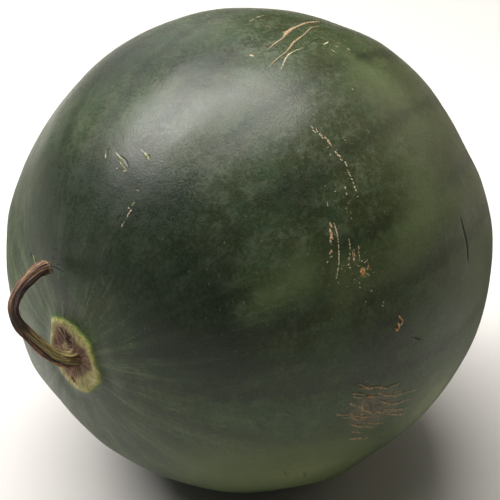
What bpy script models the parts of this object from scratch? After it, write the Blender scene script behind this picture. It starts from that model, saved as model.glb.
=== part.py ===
"""A round, dark-green watermelon with its dried, hooked stem still on.

The fruit lies on its side. Its polar axis runs along X, with the stem end towards -X and
the blossom end towards +X. The origin is the centre of the small flat spot that the fruit
rests on, and +Z is up. Lengths are in metres and angles in degrees.

Places on the rind are given by two angles. "from_stem" is measured from the stem pole:
0 at the stem and 180 at the blossom end. "around" goes round the polar axis: 0 at the top,
90 at the front (-Y), 180 at the bottom and -90 at the back (+Y).
"""

from math import acos, asin, cos, degrees, exp, hypot, pi, radians, sin, sqrt
import random

import bmesh
import bpy
from mathutils import Vector

MM = 0.001

# Size of the fruit
EQUATOR_RADIUS = 0.115
POLAR_RADIUS = 0.1153
REST_SPOT_RADIUS = 0.022
CENTRE_HEIGHT = sqrt(EQUATOR_RADIUS**2 - REST_SPOT_RADIUS**2)

# Broad swells and flats of the rind: from_stem, around, spread, height
SWELLS = (
    (65, -50, 20, -1.7 * MM),
    (46, -71, 6, 0.4 * MM),
    (122, 20, 11, 1.4 * MM),
    (127, 52, 9, -1.2 * MM),
    (121, 78, 14, 0.9 * MM),
    (98, 113, 7, -0.5 * MM),
    (84, 126, 16, -1.5 * MM),
    (74, 136, 6, 1.0 * MM),
    (55, 153, 8, 0.4 * MM),
    (31, -149, 8, -0.7 * MM),
    (30, -128, 6, 1.0 * MM),
)

# Ribs, which run from pole to pole between shallow valleys
RIB_COUNT = 21
RIB_HEIGHT = 0.35 * MM
FIRST_VALLEY = 40
VALLEY_JITTER = 2.0
SEEN_VALLEYS = {1: 57, 2: 70, 3: 90}
SEGMENTS_PER_RIB = 4

# Corky scar round the stem: around, distance of its edge from the polar axis
CORK_EDGE = (
    (-172, 17.6 * MM), (-157, 16.2 * MM), (-140, 15.0 * MM), (-116, 13.9 * MM),
    (-86, 14.3 * MM), (-60, 14.8 * MM), (-41, 18.5 * MM), (-24, 17.3 * MM),
    (7, 16.0 * MM), (22, 15.0 * MM), (44, 15.4 * MM), (61, 14.3 * MM),
    (78, 14.2 * MM), (110, 16.4 * MM), (130, 15.8 * MM), (170, 17.7 * MM),
)
CORK_MEAN_RADIUS = 16.0 * MM
CORK_HEIGHT = 0.5 * MM
CORK_RIM_HEIGHT = 0.6 * MM
CORK_MOAT_DEPTH = 0.5 * MM
CORK_HOLLOW_DEPTH = 0.5 * MM

# Mesh rings near the scar: share of its mean radius, and how far each follows its edge
CORK_RINGS = (
    (0.50, 0.5), (0.70, 0.9), (0.84, 1.0), (0.93, 1.0), (1.01, 1.0),
    (1.12, 1.0), (1.35, 0.7), (1.70, 0.35), (2.20, 0.0),
)

# Blossom end: a dimple with a small button in it
BLOSSOM_DIMPLE_DEPTH = 2.0 * MM
BLOSSOM_DIMPLE_SPREAD = 5.0
BLOSSOM_BUTTON_HEIGHT = 0.8 * MM
BLOSSOM_BUTTON_SPREAD = 1.3
BLOSSOM_RINGS = (173.0, 176.0, 178.0, 179.0)

# Plain rings between the two ends
PLAIN_RING_FIRST = 22.0
PLAIN_RING_LAST = 169.0
PLAIN_RING_COUNT = 33

# Root of the stem, and the socket in the fruit that holds it with a small gap all round
GAP = 0.3 * MM
ROOT_RADIUS = 4.8 * MM
ROOT_DEPTH = 4.7 * MM
SOCKET_RADIUS = ROOT_RADIUS + GAP
SOCKET_DEPTH = ROOT_DEPTH + GAP

# Stem: outward distance from the stem pole, sideways distance from the axis, radius
STEM_LEAN = -20
STEM_ROUTE = (
    (-ROOT_DEPTH, 0.0 * MM, ROOT_RADIUS),
    (0.5 * MM, 0.0 * MM, ROOT_RADIUS),
    (3.2 * MM, 0.6 * MM, 4.4 * MM),
    (6.0 * MM, 2.4 * MM, 3.8 * MM),
    (9.0 * MM, 5.2 * MM, 3.4 * MM),
    (12.5 * MM, 10.5 * MM, 3.2 * MM),
    (16.1 * MM, 17.0 * MM, 3.1 * MM),
    (19.0 * MM, 23.5 * MM, 2.7 * MM),
    (20.0 * MM, 29.0 * MM, 2.2 * MM),
    (18.8 * MM, 33.0 * MM, 2.2 * MM),
    (15.3 * MM, 36.3 * MM, 2.6 * MM),
    (10.6 * MM, 38.7 * MM, 2.9 * MM),
    (6.2 * MM, 40.0 * MM, 3.1 * MM),
    (2.0 * MM, 40.6 * MM, 3.2 * MM),
    (-2.2 * MM, 40.3 * MM, 3.3 * MM),
)
STEM_RINGS_PER_SPAN = 3
STEM_RIDGES = 8
STEM_SEGMENTS_PER_RIDGE = 4
STEM_RIDGE_DEPTH = 0.16
STEM_TWIST = 50
ROOT_RIDGE_FADE = 6.0 * MM
CUT_RAGGEDNESS = 0.5 * MM
CUT_HOLLOW = 1.2 * MM

RIND_COLOUR = (63, 74, 54)
STEM_COLOUR = (110, 84, 56)


def direction(from_stem, around):
    """Unit vector from the fruit's centre to a place on the rind."""
    t, u = radians(from_stem), radians(around)
    return Vector((-cos(t), -sin(t) * sin(u), sin(t) * cos(u)))


def angle_between(a, b):
    return degrees(acos(max(-1.0, min(1.0, a.dot(b)))))


def smooth_step(low, high, value):
    x = max(0.0, min(1.0, (value - low) / (high - low)))
    return x * x * (3 - 2 * x)


def bell(offset, spread):
    return exp(-(offset / spread) ** 2)


def valley_angles():
    """Where the valleys between the ribs lie around the axis, in rising order."""
    draw = random.Random(11)
    angles = []
    for index in range(RIB_COUNT):
        even = FIRST_VALLEY + 360 * index / RIB_COUNT
        jitter = draw.uniform(-VALLEY_JITTER, VALLEY_JITTER) if index else 0
        angles.append(SEEN_VALLEYS.get(index, even + jitter))
    return angles


VALLEYS = valley_angles()


def rib_position(around):
    """Index of the rib at an angle, and how far across it the angle lies, 0 to 1."""
    angle = FIRST_VALLEY + (around - FIRST_VALLEY) % 360
    for index in range(RIB_COUNT):
        low = VALLEYS[index]
        high = VALLEYS[index + 1] if index + 1 < RIB_COUNT else FIRST_VALLEY + 360
        if angle <= high:
            return index, (angle - low) / (high - low)
    return 0, 0.0


def cork_edge(around):
    """Distance of the corky scar's edge from the polar axis, eased between its points."""
    angle = CORK_EDGE[0][0] + (around - CORK_EDGE[0][0]) % 360
    for index, (low, low_radius) in enumerate(CORK_EDGE):
        last = index + 1 == len(CORK_EDGE)
        high, high_radius = CORK_EDGE[0] if last else CORK_EDGE[index + 1]
        high += 360 if last else 0
        if angle <= high:
            return low_radius + (high_radius - low_radius) * smooth_step(low, high, angle)
    return CORK_EDGE[0][1]


def stem_end_relief(from_stem, around):
    """Raised corky scar with its rim, and the shallow moat round it."""
    if from_stem > 45:
        return 0.0
    share = EQUATOR_RADIUS * sin(radians(from_stem)) / cork_edge(around)
    plateau = CORK_HEIGHT * (1 - smooth_step(0.92, 1.06, share))
    rim = CORK_RIM_HEIGHT * bell(share - 0.92, 0.12)
    moat = CORK_MOAT_DEPTH * bell(share - 1.3, 0.25)
    hollow = CORK_HOLLOW_DEPTH * bell(share, 0.6)
    return plateau + rim - moat - hollow


def blossom_end_relief(from_stem):
    from_blossom = 180 - from_stem
    dimple = BLOSSOM_DIMPLE_DEPTH * bell(from_blossom, BLOSSOM_DIMPLE_SPREAD)
    button = BLOSSOM_BUTTON_HEIGHT * bell(from_blossom, BLOSSOM_BUTTON_SPREAD)
    return button - dimple


def rind_point(from_stem, around):
    """Place on the rind, before the rest spot is cut."""
    ray = direction(from_stem, around)
    radius = 1 / hypot(ray.x / POLAR_RADIUS, hypot(ray.y, ray.z) / EQUATOR_RADIUS)
    for swell_from_stem, swell_around, spread, height in SWELLS:
        centre = direction(swell_from_stem, swell_around)
        radius += height * bell(angle_between(ray, centre), spread)
    across = rib_position(around)[1]
    radius += -0.5 * RIB_HEIGHT * cos(2 * pi * across) * sin(radians(from_stem)) ** 2
    radius += stem_end_relief(from_stem, around) + blossom_end_relief(from_stem)
    return Vector((0, 0, CENTRE_HEIGHT)) + ray * radius


def segment_angles():
    """Angles around the axis of the mesh's meridians, evenly spaced within each rib."""
    angles = []
    for index, low in enumerate(VALLEYS):
        high = VALLEYS[index + 1] if index + 1 < RIB_COUNT else FIRST_VALLEY + 360
        for step in range(SEGMENTS_PER_RIB):
            angles.append(low + (high - low) * step / SEGMENTS_PER_RIB)
    return angles


def ring_angle(mean_radius, follow, around):
    """Angle from the stem of a ring that follows the scar's edge by a share."""
    stretch = 1 + follow * (cork_edge(around) / CORK_MEAN_RADIUS - 1)
    return degrees(asin(mean_radius * stretch / EQUATOR_RADIUS))


def fruit_rings(angles):
    """Rings of points from the socket's mouth to just short of the blossom pole."""
    shares = [(SOCKET_RADIUS / CORK_MEAN_RADIUS, 0.0)] + list(CORK_RINGS)
    rings = []
    for share, follow in shares:
        mean_radius = share * CORK_MEAN_RADIUS
        rings.append([rind_point(ring_angle(mean_radius, follow, a), a) for a in angles])
    step = (PLAIN_RING_LAST - PLAIN_RING_FIRST) / (PLAIN_RING_COUNT - 1)
    plain = [PLAIN_RING_FIRST + step * index for index in range(PLAIN_RING_COUNT)]
    for from_stem in plain + list(BLOSSOM_RINGS):
        rings.append([rind_point(from_stem, a) for a in angles])
    return rings


def bridge(bm, ring_a, ring_b):
    """Joins two rings of vertices with a band of faces."""
    for index in range(len(ring_a)):
        after = (index + 1) % len(ring_a)
        bm.faces.new((ring_a[index], ring_a[after], ring_b[after], ring_b[index]))


def fan(bm, ring, tip):
    """Closes a ring with triangles that meet at one vertex."""
    for index in range(len(ring)):
        bm.faces.new((ring[index], ring[(index + 1) % len(ring)], tip))


def finish_mesh(bm, name, material, sharp_angle):
    """Turns a closed bmesh into a named, smooth-shaded object."""
    bmesh.ops.recalc_face_normals(bm, faces=bm.faces)
    mesh = bpy.data.meshes.new(name)
    bm.to_mesh(mesh)
    bm.free()
    mesh.materials.append(material)
    mesh.shade_smooth()
    mesh.set_sharp_from_angle(angle=radians(sharp_angle))
    piece = bpy.data.objects.new(name, mesh)
    bpy.context.scene.collection.objects.link(piece)
    return piece


def cut_rest_spot(bm):
    """Slices the underside flat at z = 0 and closes the cut."""
    everything = list(bm.verts) + list(bm.edges) + list(bm.faces)
    bmesh.ops.bisect_plane(
        bm, geom=everything, dist=1e-6, plane_co=(0, 0, 0), plane_no=(0, 0, -1), clear_outer=True
    )
    rim = [edge for edge in bm.edges if edge.is_boundary]
    bmesh.ops.edgeloop_fill(bm, edges=rim)


def make_fruit(material):
    """The whole fruit as one solid, with a plain blind hole for the stem's root."""
    bm = bmesh.new()
    angles = segment_angles()
    rings = [[bm.verts.new(point) for point in ring] for ring in fruit_rings(angles)]
    for ring_a, ring_b in zip(rings, rings[1:]):
        bridge(bm, ring_a, ring_b)
    fan(bm, rings[-1], bm.verts.new(rind_point(180, 0)))

    floor_x = SOCKET_DEPTH - POLAR_RADIUS
    socket_floor = [bm.verts.new((floor_x, vert.co.y, vert.co.z)) for vert in rings[0]]
    bridge(bm, socket_floor, rings[0])
    bm.faces.new(socket_floor)

    cut_rest_spot(bm)
    fruit = finish_mesh(bm, "fruit", material, sharp_angle=40)
    rest_face = max(fruit.data.polygons, key=lambda face: face.area)
    rest_face.use_smooth = False
    return fruit


def route_point(start, end, before, after, share):
    """Catmull-Rom blend of four route points, for a smooth curve from start to end."""
    blended = []
    for p0, p1, p2, p3 in zip(before, start, end, after):
        linear = (p2 - p0) * share
        square = (2 * p0 - 5 * p1 + 4 * p2 - p3) * share**2
        cube = (3 * p1 - p0 - 3 * p2 + p3) * share**3
        blended.append(p1 + 0.5 * (linear + square + cube))
    return blended


def stem_route():
    """Centre points and radii along the stem, from its root to its cut end."""
    outward = Vector((-1, 0, 0))
    sideways = direction(90, STEM_LEAN)
    pole = Vector((-POLAR_RADIUS, 0, CENTRE_HEIGHT))
    centres, radii = [], []
    last = len(STEM_ROUTE) - 1
    for span in range(last):
        start, end = STEM_ROUTE[span], STEM_ROUTE[span + 1]
        before = STEM_ROUTE[max(span - 1, 0)]
        after = STEM_ROUTE[min(span + 2, last)]
        steps = STEM_RINGS_PER_SPAN + (1 if span == last - 1 else 0)
        for step in range(steps):
            share = step / STEM_RINGS_PER_SPAN
            out, side, radius = route_point(start, end, before, after, share)
            centres.append(pole + outward * out + sideways * side)
            radii.append(radius)
    return centres, radii


def stem_rings():
    """Ridged cross-sections along the stem, and the direction that its end faces."""
    centres, radii = stem_route()
    count = STEM_RIDGES * STEM_SEGMENTS_PER_RIDGE
    draw = random.Random(5)
    ragged = [draw.uniform(-1, 1) * CUT_RAGGEDNESS for _ in range(count)]
    plane_normal = Vector((1, 0, 0)).cross(direction(90, STEM_LEAN))
    travelled = 0.0
    rings = []
    for index, centre in enumerate(centres):
        previous = centres[max(index - 1, 0)]
        following = centres[min(index + 1, len(centres) - 1)]
        travelled += (centre - previous).length
        tangent = (following - previous).normalized()
        inward = tangent.cross(plane_normal)
        depth = STEM_RIDGE_DEPTH * smooth_step(0, ROOT_RIDGE_FADE, travelled - 0.005)
        twist = STEM_TWIST * index / len(centres)
        ring = []
        for segment in range(count):
            turn = 2 * pi * segment / count
            wave = 0.5 + 0.5 * cos(STEM_RIDGES * turn)
            radius = radii[index] * (1 - depth * (1 - wave))
            angle = turn + radians(twist)
            offset = (inward * cos(angle) + plane_normal * sin(angle)) * radius
            slip = ragged[segment] if index == len(centres) - 1 else 0
            ring.append(centre + offset + tangent * slip)
        rings.append(ring)
    return rings, centres[-1] - tangent * CUT_HOLLOW


def make_stem(material):
    """Dried stem with lengthwise ridges, its root in the socket and its end cut ragged."""
    bm = bmesh.new()
    points, cut_centre = stem_rings()
    rings = [[bm.verts.new(point) for point in ring] for ring in points]
    for ring_a, ring_b in zip(rings, rings[1:]):
        bridge(bm, ring_a, ring_b)
    bm.faces.new(rings[0])
    fan(bm, rings[-1], bm.verts.new(cut_centre))
    return finish_mesh(bm, "stem", material, sharp_angle=50)


def linear_colour(srgb):
    """Scene-linear colour with alpha from 0-255 display values."""
    channels = [value / 255 for value in srgb]
    return [c / 12.92 if c <= 0.04045 else ((c + 0.055) / 1.055) ** 2.4 for c in channels] + [1]


def make_material(name, srgb, roughness):
    material = bpy.data.materials.new(name)
    material.use_nodes = True
    shader = material.node_tree.nodes["Principled BSDF"]
    shader.inputs["Base Color"].default_value = linear_colour(srgb)
    shader.inputs["Roughness"].default_value = roughness
    shader.inputs["Metallic"].default_value = 0.0
    return material


def main():
    for old in list(bpy.data.objects):
        bpy.data.objects.remove(old, do_unlink=True)
    make_fruit(make_material("rind", RIND_COLOUR, roughness=0.38))
    make_stem(make_material("dry_stem", STEM_COLOUR, roughness=0.8))


main()
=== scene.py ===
"""Looks of a round, dark-green watermelon with its dried, hooked stem.

The rind is one fine mesh over the fruit's own form. The marks of its skin are modelled in
low relief and reach its material as attributes. Lengths are in metres, where a table does not
say millimetres, and angles in degrees.

The fruit lies on its side: its polar axis runs along X, with the stem end towards -X.
"from_stem" is the angle from the stem pole. "around" goes round the axis: 0 at the top,
90 at the front (-Y), 180 at the bottom and -90 at the back (+Y).
"""

import random
from collections import namedtuple

import bmesh
import bpy
import numpy as np
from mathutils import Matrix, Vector, noise


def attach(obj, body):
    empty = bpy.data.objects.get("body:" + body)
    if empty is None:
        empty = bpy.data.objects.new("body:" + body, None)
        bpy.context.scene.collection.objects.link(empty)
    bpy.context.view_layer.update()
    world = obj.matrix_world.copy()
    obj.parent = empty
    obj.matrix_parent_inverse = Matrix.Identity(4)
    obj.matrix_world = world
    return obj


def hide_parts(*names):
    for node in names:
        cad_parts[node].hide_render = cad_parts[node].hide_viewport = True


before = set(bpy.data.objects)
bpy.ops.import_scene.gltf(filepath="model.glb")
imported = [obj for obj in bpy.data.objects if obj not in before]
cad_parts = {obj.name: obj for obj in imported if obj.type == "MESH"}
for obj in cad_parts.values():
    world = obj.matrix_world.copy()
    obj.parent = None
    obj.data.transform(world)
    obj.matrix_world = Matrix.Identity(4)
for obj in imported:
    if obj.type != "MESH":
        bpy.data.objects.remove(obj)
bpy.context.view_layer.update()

MM = 0.001

# Form of the fruit, as in the solid
EQUATOR_RADIUS = 0.115
POLAR_RADIUS = 0.1153
REST_SPOT_RADIUS = 0.022
CENTRE_HEIGHT = np.sqrt(EQUATOR_RADIUS**2 - REST_SPOT_RADIUS**2)
CENTRE = np.array((0, 0, CENTRE_HEIGHT))

# Broad swells and flats: from_stem, around, spread, height
SWELLS = (
    (65, -50, 20, -1.7 * MM), (46, -71, 6, 0.4 * MM), (122, 20, 11, 1.4 * MM),
    (127, 52, 9, -1.2 * MM), (121, 78, 14, 0.9 * MM), (98, 113, 7, -0.5 * MM),
    (84, 126, 16, -1.5 * MM), (74, 136, 6, 1.0 * MM), (55, 153, 8, 0.4 * MM),
    (31, -149, 8, -0.7 * MM), (30, -128, 6, 1.0 * MM),
)

RIB_COUNT = 21
RIB_HEIGHT = 0.35 * MM
FIRST_VALLEY = 40
VALLEY_JITTER = 2.0
SEEN_VALLEYS = {1: 57, 2: 70, 3: 90}

# Corky scar round the stem: around, distance of its edge from the polar axis
CORK_EDGE = (
    (-172, 17.6 * MM), (-157, 16.2 * MM), (-140, 15.0 * MM), (-116, 13.9 * MM),
    (-86, 14.3 * MM), (-60, 14.8 * MM), (-41, 18.5 * MM), (-24, 17.3 * MM),
    (7, 16.0 * MM), (22, 15.0 * MM), (44, 15.4 * MM), (61, 14.3 * MM),
    (78, 14.2 * MM), (110, 16.4 * MM), (130, 15.8 * MM), (170, 17.7 * MM),
)
# How far its brown middle reaches: around, share of the way to the edge
CORK_BROWN = (
    (-169, 0.72), (-157, 0.80), (-120, 0.84), (-87, 0.90), (-64, 0.88), (-42, 0.80),
    (-21, 0.82), (-7, 0.74), (10, 0.63), (25, 0.61), (51, 0.73), (71, 0.81), (90, 0.77),
    (118, 0.58), (164, 0.56),
)
CORK_HEIGHT = 0.5 * MM
CORK_RIM_HEIGHT = 0.6 * MM
CORK_MOAT_DEPTH = 0.5 * MM
CORK_HOLLOW_DEPTH = 0.5 * MM
CORK_RIM_TURN = 50
CORK_RIM_SPREAD = 75
# Relief of the scar's grain and of the wrinkles round it
CORK_STREAK_HEIGHT = 0.30 * MM
CORK_LUMP_HEIGHT = 0.28 * MM
CORK_LUMP_LENGTH = 2.6 * MM
WRINKLE_HEIGHT = 0.16 * MM
WRINKLE_REACH = 2.4

BLOSSOM_DIMPLE_DEPTH = 2.0 * MM
BLOSSOM_DIMPLE_SPREAD = 5.0
BLOSSOM_BUTTON_HEIGHT = 0.8 * MM
BLOSSOM_BUTTON_SPREAD = 1.3
BLOSSOM_SCAR_REACH = 2.4

# Stem, as in the solid: outward distance from the pole, sideways distance, radius, all in mm
STEM_LEAN = -20
STEM_ROUTE = (
    (-1.6, 0.0, 6.4), (0.5, 0.0, 5.4), (3.2, 0.6, 4.4), (6.0, 2.4, 3.8),
    (9.0, 5.2, 3.4), (12.5, 10.5, 3.2), (16.1, 17.0, 3.1), (19.0, 23.5, 2.7),
    (20.0, 29.0, 2.2), (18.8, 33.0, 2.2), (15.3, 36.3, 2.6), (10.6, 38.7, 2.9),
    (6.2, 40.0, 3.1), (2.0, 40.6, 3.2), (-2.2, 40.3, 3.3),
)
STEM_STEPS = 10
STEM_SEGMENTS = 80
STEM_FIBRE_DEPTH = 0.13 * MM
STEM_BARK_DEPTH = 0.35 * MM
# Ridges of the stem: turn, width, height
STEM_RIDGES = (
    (5, 12, 0.5), (38, 15, 0.8), (76, 9, 1.0), (98, 7, 0.7), (124, 11, 1.0), (152, 8, 0.7),
    (182, 14, 1.0), (223, 12, 0.8), (262, 13, 1.0), (305, 14, 0.9), (338, 9, 0.7),
)
STEM_RIDGE_DEPTH = 0.24
STEM_TWIST = 40
# Where along the stem its kinked elbow lies, as a share of its length
STEM_ELBOW = 0.56
# Turns round the stem of its bark, olive side, dark line and the side with painted shade
STEM_BARK_TURN = 165
STEM_OLIVE_TURN = 75
STEM_DARK_TURN = 134
STEM_SHADE_TURN = 20
CUT_RAGGEDNESS = 0.9 * MM
# Rings that close the cut end: size as a share of the end, and how deep they lie in mm
CUT_RINGS = ((0.80, 0.5), (0.55, 1.0), (0.28, 0.8))
CUT_MIDDLE_DEPTH = 0.7 * MM

# Camera of the photograph, which is 500 pixels wide and high
PHOTO_SIZE = 500
CAMERA_AZIMUTH = -50.15
CAMERA_ELEVATION = 30.63
CAMERA_DISTANCE = 0.57267
CAMERA_LENS = 85.0
CAMERA_SENSOR = 36.0
FRUIT_CENTRE_PIXEL = (248.65, 249.6)

# Low waves all over the rind
WAVE_HEIGHT = 0.22 * MM
WAVE_LENGTH = 16 * MM
RIPPLE_HEIGHT = 0.07 * MM
RIPPLE_LENGTH = 6 * MM

# Mesh of the rind: its longest edges on marks, in the scar, at the rest spot and elsewhere, and
# how fast they grow with the distance from each
BASE_SUBDIVISIONS = 7
FINE_EDGE = 0.40 * MM
FINE_EDGE_GROWTH = 0.45
FINE_MARGIN = 1.5 * MM
FINE_WIDTH_SHARE = 1.3
CORK_EDGE_LENGTH = 0.55 * MM
CORK_EDGE_GROWTH = 0.25
CORK_FINE_SHARE = 1.15
CORK_MEAN_RADIUS = 16 * MM
REST_SPOT_EDGE = 1.2 * MM
REST_SPOT_EDGE_GROWTH = 0.5
BASE_EDGE = 2.6 * MM
EDGE_TOLERANCE = 1.4
REFINE_ROUNDS = 4
# How softly the rind is held back to the flat rest spot
REST_SPOT_SOFTNESS = 0.15 * MM

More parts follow.
